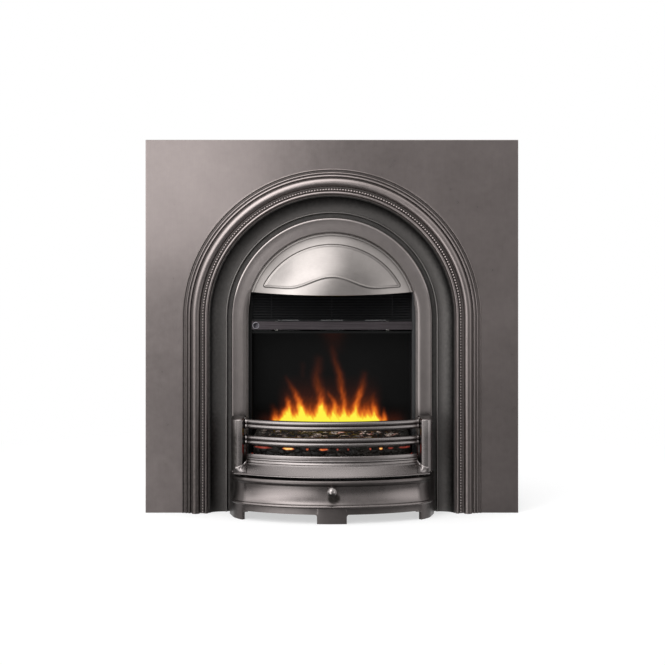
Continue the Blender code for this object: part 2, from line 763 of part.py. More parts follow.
def bar_section(height):
    """Two rolls in front that meet in a groove, with a flat back."""
    points = []
    reach = math.asin(min(0.95, 0.95 * ROLL_SPACING / 2 / ROLL_RADIUS))
    for centre in (height - ROLL_SPACING / 2, height + ROLL_SPACING / 2):
        turns = [reach * (step - 2) / 2 for step in range(5)]
        points += [(ROLL_RADIUS * math.cos(t), centre + ROLL_RADIUS * math.sin(t)) for t in turns]
    top, bottom = points[-1][1], points[0][1]
    return points + [(-BAR_BACK, top), (-BAR_BACK, bottom)]


def end_blocks(name, inner, low_z, high_z):
    """Blocks beyond a half width on both sides, to trim what runs past it."""
    far = 0.5
    return boxes(
        name,
        [
            ((-far, -far, low_z), (-inner, far, high_z)),
            ((inner, -far, low_z), (far, far, high_z)),
        ],
    )


def make_fret():
    """Posts, bars and the stepped shelf that carries them on two cheeks."""
    end = POST_INNER - GAP
    for name, height in (("fret_bar_upper", UPPER_BAR_HEIGHT), ("fret_bar_lower", LOWER_BAR_HEIGHT)):
        path = bow_path(BOW_RADIUS, POST_INNER + 0.01)
        bar = swept(name, path, bar_section(height), LEVEL, POLISHED_IRON)
        cut(bar, end_blocks(name + "_ends", end, 0, POST_TOP))

    outer = POST_INNER + POST_WIDTH
    path = bow_path(BOW_RADIUS, outer + 0.004)
    base = swept("fret_base", path, SHELF_SECTION, LEVEL, POLISHED_IRON)
    cut(base, end_blocks("shelf_top_ends", end, SHELF_END_HEIGHT, POST_TOP))
    cut(base, end_blocks("shelf_ends", outer - GAP, -BELOW_HEARTH, POST_TOP))
    pads, cheeks, posts = [], [], []
    for side in (-1, 1):
        inner_x, outer_x = sorted((side * SHELF_PAD_INNER, side * outer))
        top = SHELF_END_HEIGHT - 0.0002
        pads.append(((inner_x, -POST_FRONT, top - SHELF_PAD_WALL), (outer_x, -PAD_REAR, top)))
        inner_x, outer_x = sorted((side * CHEEK_INNER, side * (CHEEK_INNER + CHEEK_WIDTH)))
        rear = FRAME_FACE - GAP
        cheeks.append(((inner_x, -CHEEK_FRONT, 0), (outer_x, rear, top - 0.002)))
        inner_x, outer_x = sorted((side * POST_INNER, side * outer))
        foot = SHELF_END_HEIGHT + GAP
        posts.append(((inner_x, -POST_FRONT, foot), (outer_x, POST_DEPTH - POST_FRONT, POST_TOP)))
    join(base, boxes("shelf_pads", pads))
    join(base, boxes("fret_cheeks", cheeks))
    for name, corners in zip(("fret_post_left", "fret_post_right"), posts):
        post = boxes(name, [corners], POLISHED_IRON)
        slope_post_cap(post)
        rounding = post.modifiers.new("rounded_edges", "BEVEL")
        rounding.width = POST_ROUNDING
        rounding.segments = 3
    return base


def slope_post_cap(post):
    """The cap falls towards the front."""
    for corner in post.data.vertices:
        if corner.co.z > 0 and corner.co.y < 0:
            corner.co.z -= POST_CAP_DROP


def cover_path():
    """The ash cover's plan line: forward along the left return, across the bow and back."""
    radius = BOW_RADIUS + COVER_AHEAD
    corner_x = COVER_HALF_WIDTH - COVER_CORNER
    corner_y = BOW_CENTRE - math.sqrt((radius - COVER_CORNER) ** 2 - corner_x**2)
    lean = math.atan2(corner_y - BOW_CENTRE, corner_x)
    rear = FRAME_FACE - FRAME_BEAD_PROUD - GAP
    bow = arc((0, BOW_CENTRE), radius, -math.pi - lean, lean, BOW_STEPS)
    left = arc((-corner_x, corner_y), COVER_CORNER, -math.pi, -math.pi - lean, 6)
    right = arc((corner_x, corner_y), COVER_CORNER, lean, 0, 6)
    return [(-COVER_HALF_WIDTH, rear)] + left[:-1] + bow + right[1:] + [(COVER_HALF_WIDTH, rear)]


def rounded_notch(inner, outer):
    """Outline of the gap between two feet, its upper corners rounded."""
    low, high, r = -0.01, FOOT_HEIGHT, NOTCH_CORNER
    top_right = arc((outer - r, high - r), r, 0, math.pi / 2, 4)
    top_left = arc((inner + r, high - r), r, math.pi / 2, math.pi, 4)
    return [(inner, low), (outer, low)] + top_right + top_left


def make_ash_cover():
    """The bowed ash cover with three feet and a boss for its knob, and the knob."""
    section = list(COVER_FACE) + [(-COVER_WALL, COVER_FACE[-1][1]), (-COVER_WALL, 0)]
    cover = swept("ash_cover", cover_path(), section, LEVEL, POLISHED_IRON)
    seat = (0, -COVER_FRONT - BOSS_PROUD, KNOB_HEIGHT)
    root = (0, -COVER_FRONT + COVER_WALL - 0.003, KNOB_HEIGHT)
    join(cover, rods("knob_boss", [(root, seat)], BOSS_RADIUS, sides=20))
    for side, name in ((-1, "notch_left"), (1, "notch_right")):
        inner, outer = sorted((side * CENTRE_FOOT_HALF_WIDTH, side * SIDE_FOOT_INNER))
        cut(cover, sheet(name, rounded_notch(inner, outer), 0.04, 0.3, UPRIGHT))
    make_knob()


def make_knob():
    """A turned ball knob on a neck and collar, its axis level."""
    neck_top = KNOB_COLLAR_LENGTH + KNOB_NECK_LENGTH
    ball = neck_top + KNOB_BALL_RADIUS
    join_angle = math.asin(KNOB_NECK_RADIUS / KNOB_BALL_RADIUS)
    profile = [
        (KNOB_BALL_RADIUS * math.sin(a), ball + KNOB_BALL_RADIUS * math.cos(a))
        for a in [(math.pi - join_angle) * step / 9 for step in range(10)]
    ]
    profile += [(KNOB_NECK_RADIUS, KNOB_COLLAR_LENGTH), (KNOB_COLLAR_RADIUS, KNOB_COLLAR_LENGTH)]
    profile += [(KNOB_COLLAR_RADIUS, 0), (0, 0)]
    bm = bmesh.new()
    points = [bm.verts.new((r, 0, h)) for r, h in profile]
    for upper, lower in zip(points, points[1:]):
        bm.edges.new((upper, lower))
    mesh = bpy.data.meshes.new("ash_knob")
    bm.to_mesh(mesh)
    bm.free()
    knob = make_object("ash_knob", mesh, BRIGHT_KNOB)
    knob.location = (0, -KNOB_SEAT, KNOB_HEIGHT)
    knob.rotation_euler = (math.pi / 2, 0, 0)
    turning = knob.modifiers.new("turned", "SCREW")
    turning.steps = turning.render_steps = 16
    turning.use_merge_vertices = True
    turning.merge_threshold = 0.00002


def make_case(frame):
    """The steel case, its rear cover, feet and screws."""
    outer = boxes(
        "case",
        [((-CASE_HALF_WIDTH, CASE_FRONT, CASE_BOTTOM), (CASE_HALF_WIDTH, CASE_BACK, CASE_TOP))],
        BLACK_STEEL,
    )
    flange_x = CASE_FLANGE_HALF_WIDTH
    flange = [
        (
            (-flange_x, CASE_FRONT + 0.00005, CASE_FLANGE_BOTTOM),
            (flange_x, CASE_FRONT + CASE_WALL, CASE_FLANGE_TOP),
        )
    ]
    join(outer, boxes("case_flange", flange))
    cavity = ((-CASE_INNER, -0.01, FLOOR), (CASE_INNER, CASE_BACK - CASE_WALL, CEILING))
    cut(outer, boxes("case_cavity", [cavity]))
    rim = CASE_INNER - REAR_FLANGE
    window = ((-rim, 0, FLOOR + REAR_FLANGE), (rim, CASE_BACK + 0.01, CEILING - REAR_FLANGE))
    cut(outer, boxes("case_rear_window", [window]))
    skirt_room = (
        (-CASE_FLANGE_HALF_WIDTH, 0, HOOD_END_HEIGHT - HOOD_DIP - NOTCH_CLEARANCE),
        (CASE_FLANGE_HALF_WIDTH, HOOD_SKIRT_BACK + GAP, CASE_TOP + 0.01),
    )
    cut(outer, boxes("case_front_notch", [skirt_room]))

    edge_x = (CASE_HALF_WIDTH + CASE_FLANGE_HALF_WIDTH) / 2
    front = [(side * edge_x, (CASE_FLANGE_BOTTOM + CASE_FLANGE_TOP) / 2) for side in (-1, 1)]
    seat = CASE_FRONT + CASE_WALL
    rear_screws("case_screw", front, seat, SHORT_SCREW)
    span = screw_span(seat, SHORT_SCREW)
    drill("case_screw_holes", (outer, frame), front, *span, screw_hole(SHORT_SCREW))

    half = CASE_HALF_WIDTH - REAR_COVER_INSET
    low, high = CASE_BOTTOM + REAR_COVER_INSET, CASE_TOP - REAR_COVER_INSET
    cover = boxes(
        "rear_cover", [((-half, REAR_COVER_FACE, low), (half, REAR_COVER_BACK, high))], BLACK_STEEL
    )
    long, tall = SLOT_HALF_LENGTH, SLOT_HALF_HEIGHT
    rear_reach = (REAR_COVER_FACE - 0.01, REAR_COVER_BACK + 0.01)
    slots = [
        ((x - long, rear_reach[0], z - tall), (x + long, rear_reach[1], z + tall))
        for x in SLOT_COLUMNS
        for z in [SLOT_LOWEST + SLOT_SPACING * row for row in range(SLOT_ROWS)]
    ]
    cut(cover, boxes("air_slots", slots))
    rim_x = CASE_INNER - REAR_FLANGE / 2
    heights = (CASE_BOTTOM + REAR_SCREW_INSET, CASE_TOP - REAR_SCREW_INSET)
    rear = [(side * rim_x, z) for side in (-1, 1) for z in heights]
    rear_screws("rear_cover_screw", rear, REAR_COVER_BACK, SHEET_SCREW)
    span = screw_span(REAR_COVER_BACK, SHEET_SCREW)
    drill("rear_screw_holes", (outer, cover), rear, *span, screw_hole(SHEET_SCREW))

    for side, name in ((-1, "foot_rail_left"), (1, "foot_rail_right")):
        x = side * (CASE_HALF_WIDTH - FOOT_RAIL_INSET)
        low = (x - FOOT_RAIL_WIDTH / 2, CASE_FRONT + FOOT_RAIL_INSET, 0)
        high = (x + FOOT_RAIL_WIDTH / 2, CASE_BACK - FOOT_RAIL_INSET, CASE_BOTTOM - GAP)
        boxes(name, [(low, high)], BLACK_PLASTIC)
    stud = [((*EARTH_STUD, FLOOR - CASE_WALL / 2), (*EARTH_STUD, FLOOR + EARTH_STUD_LENGTH))]
    join(outer, rods("earth_stud", stud, EARTH_STUD_RADIUS, sides=6))
    make_services(cover)


def make_services(cover):
    """The inlet, terminal block and lamp driver on the floor of the case."""
    x, z = INLET_X, INLET_HEIGHT
    front = REAR_COVER_FACE - INLET_INSET
    inlet = rods(
        "mains_inlet", [((x, front, z), (x, INLET_BACK, z))], INLET_RADIUS, BLACK_PLASTIC, sides=16
    )
    face = REAR_COVER_BACK + GAP
    flange = rods("inlet_flange", [((x, face, z), (x, face + INLET_FLANGE, z))], INLET_FLANGE_RADIUS)
    join(inlet, flange)
    through = (front - 0.01, INLET_BACK + 0.01)
    cut(inlet, rods("inlet_bore", [((x, through[0], z), (x, through[1], z))], INLET_BORE))
    drill("inlet_hole", (cover,), [(x, z)], *through, INLET_RADIUS + GAP, sides=16)

    floor = FLOOR + GAP
    block = ((*TERMINAL_LOW, floor), (*TERMINAL_HIGH, floor + TERMINAL_HEIGHT))
    boxes("terminal_block", [block], WHITE_PLASTIC)
    driver = ((*DRIVER_LOW, floor), (*DRIVER_HIGH, floor + DRIVER_HEIGHT))
    boxes("lamp_driver", [driver], WHITE_PLASTIC)


def make_fire_front():
    """Trims, ceiling, fascia bar, grille and screen around the fire chamber."""
    edge = CASE_INNER - GAP
    fit = TRIM_INNER - GAP
    top = CEILING - GAP
    bottom = TRAY_HEIGHT + GAP
    rear = SCREEN_BACK + 0.001
    for side, name in ((-1, "screen_trim_left"), (1, "screen_trim_right")):
        face_x = sorted((side * TRIM_INNER, side * edge))
        wall_x = sorted((side * TRIM_INNER, side * (TRIM_INNER + SHEET)))
        face = ((face_x[0], TRIM_FACE, bottom), (face_x[1], TRIM_FACE + SHEET, top))
        wall = ((wall_x[0], TRIM_FACE + SHEET / 2, bottom), (wall_x[1], rear, top))
        trim = boxes(name, [face], BLACK_STEEL)
        join(trim, boxes(name + "_wall", [wall]))

    ceiling = boxes(
        "chamber_ceiling",
        [((-fit, CHAMBER_FACE, CHAMBER_TOP), (fit, rear, CHAMBER_TOP + SHEET))],
        BLACK_STEEL,
    )
    lip_low = (-fit + 0.0001, CHAMBER_FACE + 0.0001, CHAMBER_TOP - CHAMBER_LIP)
    lip_high = (fit - 0.0001, CHAMBER_FACE + SHEET, CHAMBER_TOP + SHEET / 2)
    join(ceiling, boxes("ceiling_lip", [(lip_low, lip_high)]))

    deck_back = CASE_BACK - CASE_WALL - GAP
    outline = [(-fit, DECK_FRONT), (fit, DECK_FRONT), (fit, rear + GAP), (edge, rear + GAP)]
    outline += [(edge, deck_back), (-edge, deck_back), (-edge, rear + GAP), (-fit, rear + GAP)]
    sheet("heater_deck", outline, DECK_BOTTOM, DECK_TOP, LEVEL, BLACK_STEEL)

    glass_edge = fit - GAP
    glass_top = CHAMBER_TOP - GAP
    boxes(
        "flame_screen",
        [((-glass_edge, SCREEN_FACE, bottom), (glass_edge, SCREEN_BACK, glass_top))],
        DARK_GLASS,
    )
    make_fascia(fit)
    make_grille(fit, top)


def make_fascia(fit):
    """The brushed control bar with its button, bezel, switch and remote sensor."""
    bar = boxes(
        "fascia_bar",
        [((-fit, FASCIA_FACE, FASCIA_BOTTOM), (fit, FASCIA_FACE + FASCIA_DEPTH, FASCIA_TOP))],
        BRUSHED_FASCIA,
    )
    hollow = (
        (-TRIM_INNER, FASCIA_FACE + SHEET, FASCIA_BOTTOM + SHEET),
        (TRIM_INNER, FASCIA_FACE + 2 * FASCIA_DEPTH, FASCIA_TOP - SHEET),
    )
    cut(bar, boxes("fascia_hollow", [hollow]))
    spot = [(BUTTON_X, FASCIA_MIDDLE)]
    through = (FASCIA_FACE - 0.01, FASCIA_FACE + 0.01)
    drill("button_hole", (bar,), spot, *through, BUTTON_RADIUS + GAP, sides=24)

    x, z = spot[0]
    front = FASCIA_FACE - BEZEL_PROUD - BUTTON_PROUD
    collar = FASCIA_FACE + SHEET + GAP
    rear = collar + BUTTON_STEM
    stem = [((x, front, z), (x, rear, z))]
    button = rods("power_button", stem, BUTTON_RADIUS, BRIGHT_KNOB, sides=24)
    stop = [((x, collar, z), (x, collar + BUTTON_COLLAR, z))]
    join(button, rods("button_collar", stop, BUTTON_RADIUS + BUTTON_COLLAR, sides=24))

    bezel_back = FASCIA_FACE - GAP
    ring = [((x, bezel_back - BEZEL_PROUD, z), (x, bezel_back, z))]
    bezel = rods("button_bezel", ring, BEZEL_RADIUS, BRIGHT_KNOB, sides=24)
    drill("bezel_hole", (bezel,), spot, *through, BUTTON_RADIUS + GAP, sides=24)
    make_board(x, rear + BUTTON_TRAVEL + 0.0005)

    face = DECK_FRONT + 0.001
    sensor_low = (SENSOR_LEFT, face, DECK_TOP + GAP)
    sensor_high = (SENSOR_RIGHT, face + SENSOR_DEPTH, FASCIA_BOTTOM - GAP)
    boxes("remote_sensor", [(sensor_low, sensor_high)], DARK_GLASS)


def make_board(switch_x, switch_face):
    """The control board on its carrier, and the switch that the button presses."""
    board_bottom = DECK_TOP + BOARD_RISE
    board_top = board_bottom + BOARD_THICKNESS
    low = (switch_x - SWITCH_HALF_WIDTH, switch_face, board_top + GAP)
    high = (switch_x + SWITCH_HALF_WIDTH, switch_face + SWITCH_DEPTH, FASCIA_MIDDLE + SWITCH_RISE)
    boxes("button_switch", [(low, high)], BLACK_PLASTIC)

    front = FASCIA_FACE + FASCIA_DEPTH + GAP
    low, high = (BOARD_LEFT, front, board_bottom), (BOARD_RIGHT, BOARD_BACK, board_top)
    boxes("control_board", [(low, high)], CIRCUIT_GREEN)
    floor = DECK_TOP + GAP
    low = (BOARD_LEFT, front + 2 * CARRIER_WALL, floor)
    carrier = boxes(
        "board_carrier", [(low, (BOARD_RIGHT, BOARD_BACK, floor + CARRIER_WALL))], BLACK_PLASTIC
    )
    posts = [
        ((x, y, floor + CARRIER_WALL / 2), (x, y, board_bottom - GAP))
        for x in (BOARD_LEFT + CARRIER_POST_INSET, BOARD_RIGHT - CARRIER_POST_INSET)
        for y in (low[1] + 2 * CARRIER_POST_INSET, BOARD_BACK - CARRIER_POST_INSET)
    ]
    join(carrier, rods("carrier_posts", posts, CARRIER_POST_RADIUS, sides=8))


def make_grille(fit, top):
    """The air outlet: level slats through upright dividers, with a rail above and below."""
    bottom = FASCIA_TOP + GAP
    rail_top = bottom + GRILLE_FOOT
    back = GRILLE_FACE + GRILLE_DEPTH
    slats = [((-fit, GRILLE_FACE, bottom), (fit, back, rail_top))]
    slats.append(((-fit, GRILLE_FACE, top - GRILLE_RAIL), (fit, back, top)))
    count = int((top - GRILLE_RAIL - rail_top) / SLAT_PITCH)
    for row in range(1, count):
        z = rail_top + row * SLAT_PITCH
        slats.append(((-fit, GRILLE_FACE + 0.001, z), (fit, back - 0.001, z + SLAT_THICKNESS)))
    grille = boxes("outlet_grille", slats, BLACK_PLASTIC)
    half = DIVIDER_THICKNESS / 2
    middles = (-fit + half + 0.0001, -DIVIDER_SPACING, 0, DIVIDER_SPACING, fit - half - 0.0001)
    low, high = bottom + 0.001, top - GRILLE_RAIL / 2
    uprights = [
        ((x - half, GRILLE_FACE + 0.0005, low), (x + half, back - 0.0005, high)) for x in middles
    ]
    join(grille, boxes("grille_dividers", uprights))


def make_fuel():
    """The tray with its side flanges, and the lumpy bed of coals on it."""
    edge = CASE_INNER - GAP
    rear = SCREEN_BACK + 0.002
    half = FUEL_HALF_WIDTH + TRAY_MARGIN
    outline = bow_path(BOW_RADIUS - FUEL_BEHIND_BOW, half, 12)
    neck, shoulder = (half, TRIM_FACE - 2 * SHEET), (edge, TRIM_FACE)
    outline += [neck, shoulder, (edge, rear)]
    outline += [(-edge, rear), (-edge, TRIM_FACE), (-neck[0], neck[1])]
    tray = sheet("fuel_tray", outline, TRAY_HEIGHT - SHEET, TRAY_HEIGHT, LEVEL, BLACK_STEEL)
    flanges = []
    for side in (-1, 1):
        inner_x, outer_x = sorted((side * (edge - SHEET), side * (edge - GAP)))
        low = (inner_x, TRIM_FACE + 0.001, TRAY_HEIGHT - TRAY_FLANGE)
        flanges.append((low, (outer_x, rear - 0.001, TRAY_HEIGHT - SHEET / 2)))
    join(tray, boxes("tray_flanges", flanges))

    rows, columns = 6, 20
    bottom = TRAY_HEIGHT + GAP
    bm = bmesh.new()
    floor, top = [], []
    for row in range(rows + 1):
        low_row, top_row = [], []
        for column in range(columns + 1):
            x = FUEL_HALF_WIDTH * (2 * column / columns - 1)
            radius = BOW_RADIUS - FUEL_BEHIND_BOW - 0.002
            front = BOW_CENTRE - math.sqrt(radius**2 - x**2)
            y = front + (FUEL_BACK - front) * row / rows
            low_row.append(bm.verts.new((x, y, bottom)))
            top_row.append(bm.verts.new((x, y, bottom + FUEL_HEIGHT + coal_lump(x, y))))
        floor.append(low_row)
        top.append(top_row)
    for r in range(rows):
        for c in range(columns):
            bm.faces.new((top[r][c], top[r][c + 1], top[r + 1][c + 1], top[r + 1][c]))
            bm.faces.new((floor[r][c], floor[r + 1][c], floor[r + 1][c + 1], floor[r][c + 1]))
    ring = [(0, c) for c in range(columns)] + [(r, columns) for r in range(rows)]
    ring += [(rows, c) for c in range(columns, 0, -1)] + [(r, 0) for r in range(rows, 0, -1)]
    for (r0, c0), (r1, c1) in zip(ring, ring[1:] + ring[:1]):
        bm.faces.new((floor[r0][c0], floor[r1][c1], top[r1][c1], top[r0][c0]))
    mesh = bpy.data.meshes.new("fuel_bed")
    bm.to_mesh(mesh)
    bm.free()
    make_object("fuel_bed", mesh, COAL)


def coal_lump(x, y):
    """Height of the coals above the bed's mean level: two crossed waves."""
    wave = math.sin(x / 0.011) * math.cos(y / 0.013) + math.sin(x / 0.019 + y / 0.008)
    return FUEL_LUMP * wave / 2


def make_flame_effect():
    """A turning rod of bright petals behind the screen, with its lamps, motor and bearing."""
    edge = CASE_INNER - GAP
    low = SHELF_HEIGHT - SHEET
    top = (edge, SHELF_BACK, SHELF_HEIGHT)
    shelf = boxes("light_shelf", [((-edge, SHELF_FRONT, low), top)], ZINC_STEEL)
    flanges = []
    for side in (-1, 1):
        inner_x, outer_x = sorted((side * (edge - SHEET), side * (edge - GAP)))
        start = (inner_x, SHELF_FRONT + 0.001, low + SHEET / 2)
        flanges.append((start, (outer_x, SHELF_BACK - 0.001, SHELF_HEIGHT + SHELF_FLANGE)))
    join(shelf, boxes("shelf_flanges", flanges))

    board = SHELF_HEIGHT + GAP
    top = board + BOARD_THICKNESS
    left, right = SPINDLE_LEFT + LAMP_BOARD_INSET, SPINDLE_RIGHT - LAMP_BOARD_INSET
    front, rear = SPINDLE_DEPTH - LAMP_BOARD_HALF_DEPTH, SPINDLE_DEPTH + LAMP_BOARD_HALF_DEPTH
    lamp_board = boxes("light_board", [((left, front, board), (right, rear, top))], CIRCUIT_GREEN)
    start = SPINDLE_LEFT + FIRST_LAMP_INSET
    spots = [start + LAMP_SPACING * lamp for lamp in range(LAMPS)]
    lamps = [
        lambda bm, x=x: add_rod(
            bm,
            (x, SPINDLE_DEPTH, top - BOARD_THICKNESS / 2),
            (x, SPINDLE_DEPTH, top + LAMP_HEIGHT),
            LAMP_RADIUS,
            10,
            LAMP_RADIUS / 2,
        )
        for x in spots
    ]
    join(lamp_board, solid("lamps", lamps))

    axis = (0, SPINDLE_DEPTH, SPINDLE_HEIGHT)
    count = int((SPINDLE_RIGHT - SPINDLE_LEFT - 0.05) / PETAL_PITCH)
    petals = [
        lambda bm, i=i: add_petal(bm, SPINDLE_LEFT + 0.03 + i * PETAL_PITCH, i * PETAL_TURN)
        for i in range(count)
    ]
    spindle = solid("flame_spindle", petals, BRIGHT_FOIL, axis)
    ends = (
        (SPINDLE_LEFT, SPINDLE_DEPTH, SPINDLE_HEIGHT),
        (SPINDLE_RIGHT, SPINDLE_DEPTH, SPINDLE_HEIGHT),
    )
    join(spindle, rods("spindle_rod", [ends], SPINDLE_RADIUS))

    make_spindle_ends(board, front=SPINDLE_DEPTH - STAND_HALF_DEPTH)


def make_spindle_ends(board, front):
    """The bearing at the rod's left end and the motor on its stand at the right end."""
    line = (SPINDLE_DEPTH, SPINDLE_HEIGHT)
    rear = front + 2 * STAND_HALF_DEPTH
    left = SPINDLE_LEFT + 0.001
    right = left + BEARING_WIDTH
    block = ((left, front, board), (right, rear, SPINDLE_HEIGHT + STAND_RISE))
    stand = boxes("spindle_bearing", [block], BLACK_PLASTIC)
    bore = ((left - 0.01, *line), (right + 0.01, *line))
    cut(stand, rods("bearing_bore", [bore], SPINDLE_RADIUS + RUNNING))

    face = SPINDLE_RIGHT - MOTOR_OVERLAP
    body = ((face, *line), (face + SPINDLE_MOTOR_LENGTH, *line))
    motor = rods("spindle_motor", [body], SPINDLE_MOTOR_RADIUS, ZINC_STEEL, sides=20)
    stand_low = (face + 0.004, front, board)
    stand_high = (face + SPINDLE_MOTOR_LENGTH - MOTOR_OVERLAP, rear, SPINDLE_HEIGHT - STAND_RISE)
    join(motor, boxes("motor_stand", [(stand_low, stand_high)]))
    socket = ((face - 0.01, *line), (SPINDLE_RIGHT + 0.002, *line))
    cut(motor, rods("motor_socket", [socket], SPINDLE_RADIUS + RUNNING))


def add_petal(bm, x, turn):
    """A thin bright plate across the rod, turned about it."""
    half = PETAL_THICKNESS / 2
    low = (x, -PETAL_REACH, -half)
    made = add_box(bm, low, (x + PETAL_LENGTH, PETAL_REACH, half))
    bmesh.ops.rotate(bm, verts=made, cent=(0, 0, 0), matrix=Matrix.Rotation(turn, 3, "X"))
    bmesh.ops.translate(bm, verts=made, vec=(0, SPINDLE_DEPTH, SPINDLE_HEIGHT))


def make_blower():
    """The tangential blower: a scroll between end plates, a bladed wheel, bush and motor."""
    centre = (BLOWER_DEPTH, BLOWER_HEIGHT)
    inner = SCROLL_RADIUS - SHEET
    outer_arc = arc(centre, SCROLL_RADIUS, math.radians(-150), math.radians(100), 20)
    inner_arc = arc(centre, inner, math.radians(100), math.radians(-150), 20)
    side_on = Matrix(((0, 0, 1, 0), (1, 0, 0, 0), (0, 1, 0, 0), (0, 0, 0, 1)))
    reach = END_PLATE_INNER + END_PLATE_WALL / 2
    housing = sheet("blower_housing", outer_arc + inner_arc, -reach, reach, side_on, ZINC_STEEL)
    plates = []
    for side in (-1, 1):
        low_x, high_x = sorted((side * END_PLATE_INNER, side * (END_PLATE_INNER + END_PLATE_WALL)))
        low = (low_x, BLOWER_DEPTH - END_PLATE_REACH, DECK_TOP + GAP)
        high = (high_x, BLOWER_DEPTH + END_PLATE_REACH, BLOWER_HEIGHT + END_PLATE_REACH)
        plates.append((low, high))
    join(housing, boxes("blower_end_plates", plates))
    shaft_line = ((-CASE_INNER, *centre), (CASE_INNER, *centre))
    cut(housing, rods("blower_shaft_holes", [shaft_line], BUSH_RADIUS + GAP, sides=16))

    blades = [
        lambda bm, turn=turn: add_blade(bm, turn)
        for turn in [2 * math.pi * blade / BLADES for blade in range(BLADES)]
    ]
    wheel = solid("blower_wheel", blades, ZINC_STEEL, (0, *centre))
    reach = WHEEL_HALF_LENGTH
    discs = [
        ((x - DISC_THICKNESS / 2, *centre), (x + DISC_THICKNESS / 2, *centre))
        for x in (-reach, 0, reach)
    ]
    join(wheel, rods("wheel_discs", discs, WHEEL_RADIUS, sides=24))
    plate_out = END_PLATE_INNER + END_PLATE_WALL
    axle = ((-plate_out - 0.002, *centre), (plate_out + 0.005, *centre))
    join(wheel, rods("wheel_axle", [axle], AXLE_RADIUS, sides=16))

    bush_span = ((-plate_out - 0.003, *centre), (-END_PLATE_INNER + 0.0005, *centre))
    bush = rods("blower_bush", [bush_span], BUSH_RADIUS, BRASS, sides=16)
    cut(bush, rods("bush_bore", [shaft_line], AXLE_RADIUS + RUNNING, sides=16))

    face = plate_out + GAP
    body = ((face, *centre), (face + BLOWER_MOTOR_LENGTH, *centre))
    motor = rods("blower_motor", [body], BLOWER_MOTOR_RADIUS, ZINC_STEEL, sides=24)
    socket = ((face - 0.01, *centre), (plate_out + 0.007, *centre))
    cut(motor, rods("blower_socket", [socket], AXLE_RADIUS + RUNNING, sides=16))


def add_blade(bm, turn):
    """One blade of the wheel, set near its rim."""
    rim = WHEEL_RADIUS - 0.0005
    low = (-WHEEL_HALF_LENGTH, rim - BLADE_DEPTH, -BLADE_THICKNESS / 2)
    made = add_box(bm, low, (WHEEL_HALF_LENGTH, rim, BLADE_THICKNESS / 2))
    bmesh.ops.rotate(bm, verts=made, cent=(0, 0, 0), matrix=Matrix.Rotation(turn, 3, "X"))
    bmesh.ops.translate(bm, verts=made, vec=(0, BLOWER_DEPTH, BLOWER_HEIGHT))


def make_heater():
    """The element in its ceramic frame, and the thermal cut-out beside it."""
    back = ELEMENT_FACE + ELEMENT_DEPTH
    inner = ELEMENT_HALF_WIDTH - ELEMENT_BORDER
    uprights = [
        ((-ELEMENT_HALF_WIDTH, ELEMENT_FACE, DECK_TOP + GAP), (-inner, back, ELEMENT_TOP)),
        ((inner, ELEMENT_FACE, DECK_TOP + GAP), (ELEMENT_HALF_WIDTH, back, ELEMENT_TOP)),
    ]
    frame = boxes("element_frame", uprights, CERAMIC)
    span = inner + ELEMENT_BORDER / 2
    front, rear = ELEMENT_FACE + 0.001, back - 0.001
    rails = [
        ((-span, front, ELEMENT_BOTTOM), (span, rear, ELEMENT_BOTTOM + ELEMENT_BORDER)),
        ((-span, front, ELEMENT_TOP - ELEMENT_BORDER - 0.001), (span, rear, ELEMENT_TOP - 0.001)),
    ]
    join(frame, boxes("element_rails", rails))
    low = ELEMENT_BOTTOM + ELEMENT_BORDER
    room = ELEMENT_TOP - ELEMENT_BORDER - 0.001 - low
    depth = (ELEMENT_FACE + back) / 2
    levels = [low + room * (wire + 1) / (WIRES + 1) for wire in range(WIRES)]
    make_element_wire(inner - GAP - WIRE_RADIUS, depth, levels)
    foot = (*CUTOUT_SPOT, DECK_TOP + GAP)
    top = (*CUTOUT_SPOT, DECK_TOP + GAP + CUTOUT_HEIGHT)
    rods("thermal_cutout", [(foot, top)], CUTOUT_RADIUS, BLACK_PLASTIC, sides=20)


def make_element_wire(reach, depth, levels):
    """One wire that runs to and fro between the uprights."""
    curve = bpy.data.curves.new("element_wire", "CURVE")
    curve.dimensions = "3D"
    curve.bevel_depth = WIRE_RADIUS
    curve.bevel_resolution = 1
    curve.use_fill_caps = True
    sides = ((-1, 1), (1, -1))
    ends = [(side * reach, z) for row, z in enumerate(levels) for side in sides[row % 2]]
    spline = curve.splines.new("POLY")
    spline.points.add(len(ends) - 1)
    for knot, (x, z) in zip(spline.points, ends):
        knot.co = (x, depth, z, 1)
    mesh = mesh_from_curve("element_wire", curve, LEVEL)
    make_object("element_wire", mesh, ZINC_STEEL)


plate = make_surround_plate()
reveal = make_arch_reveal()
frame = make_inner_frame()
hood = make_hood()
make_front_fixings(plate, reveal, frame, hood)
make_fret()
make_ash_cover()
make_case(frame)
make_fire_front()
make_fuel()
make_flame_effect()
make_blower()
make_heater()
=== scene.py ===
"""Looks of a cast-iron fireplace insert with an electric fire, built around its CAD frame.

Metres, +Z up, the viewer on the -Y side. A distance called proud runs forward from the front
face of the cast plate, and one called deep runs to the rear of it.
"""

import json
import math

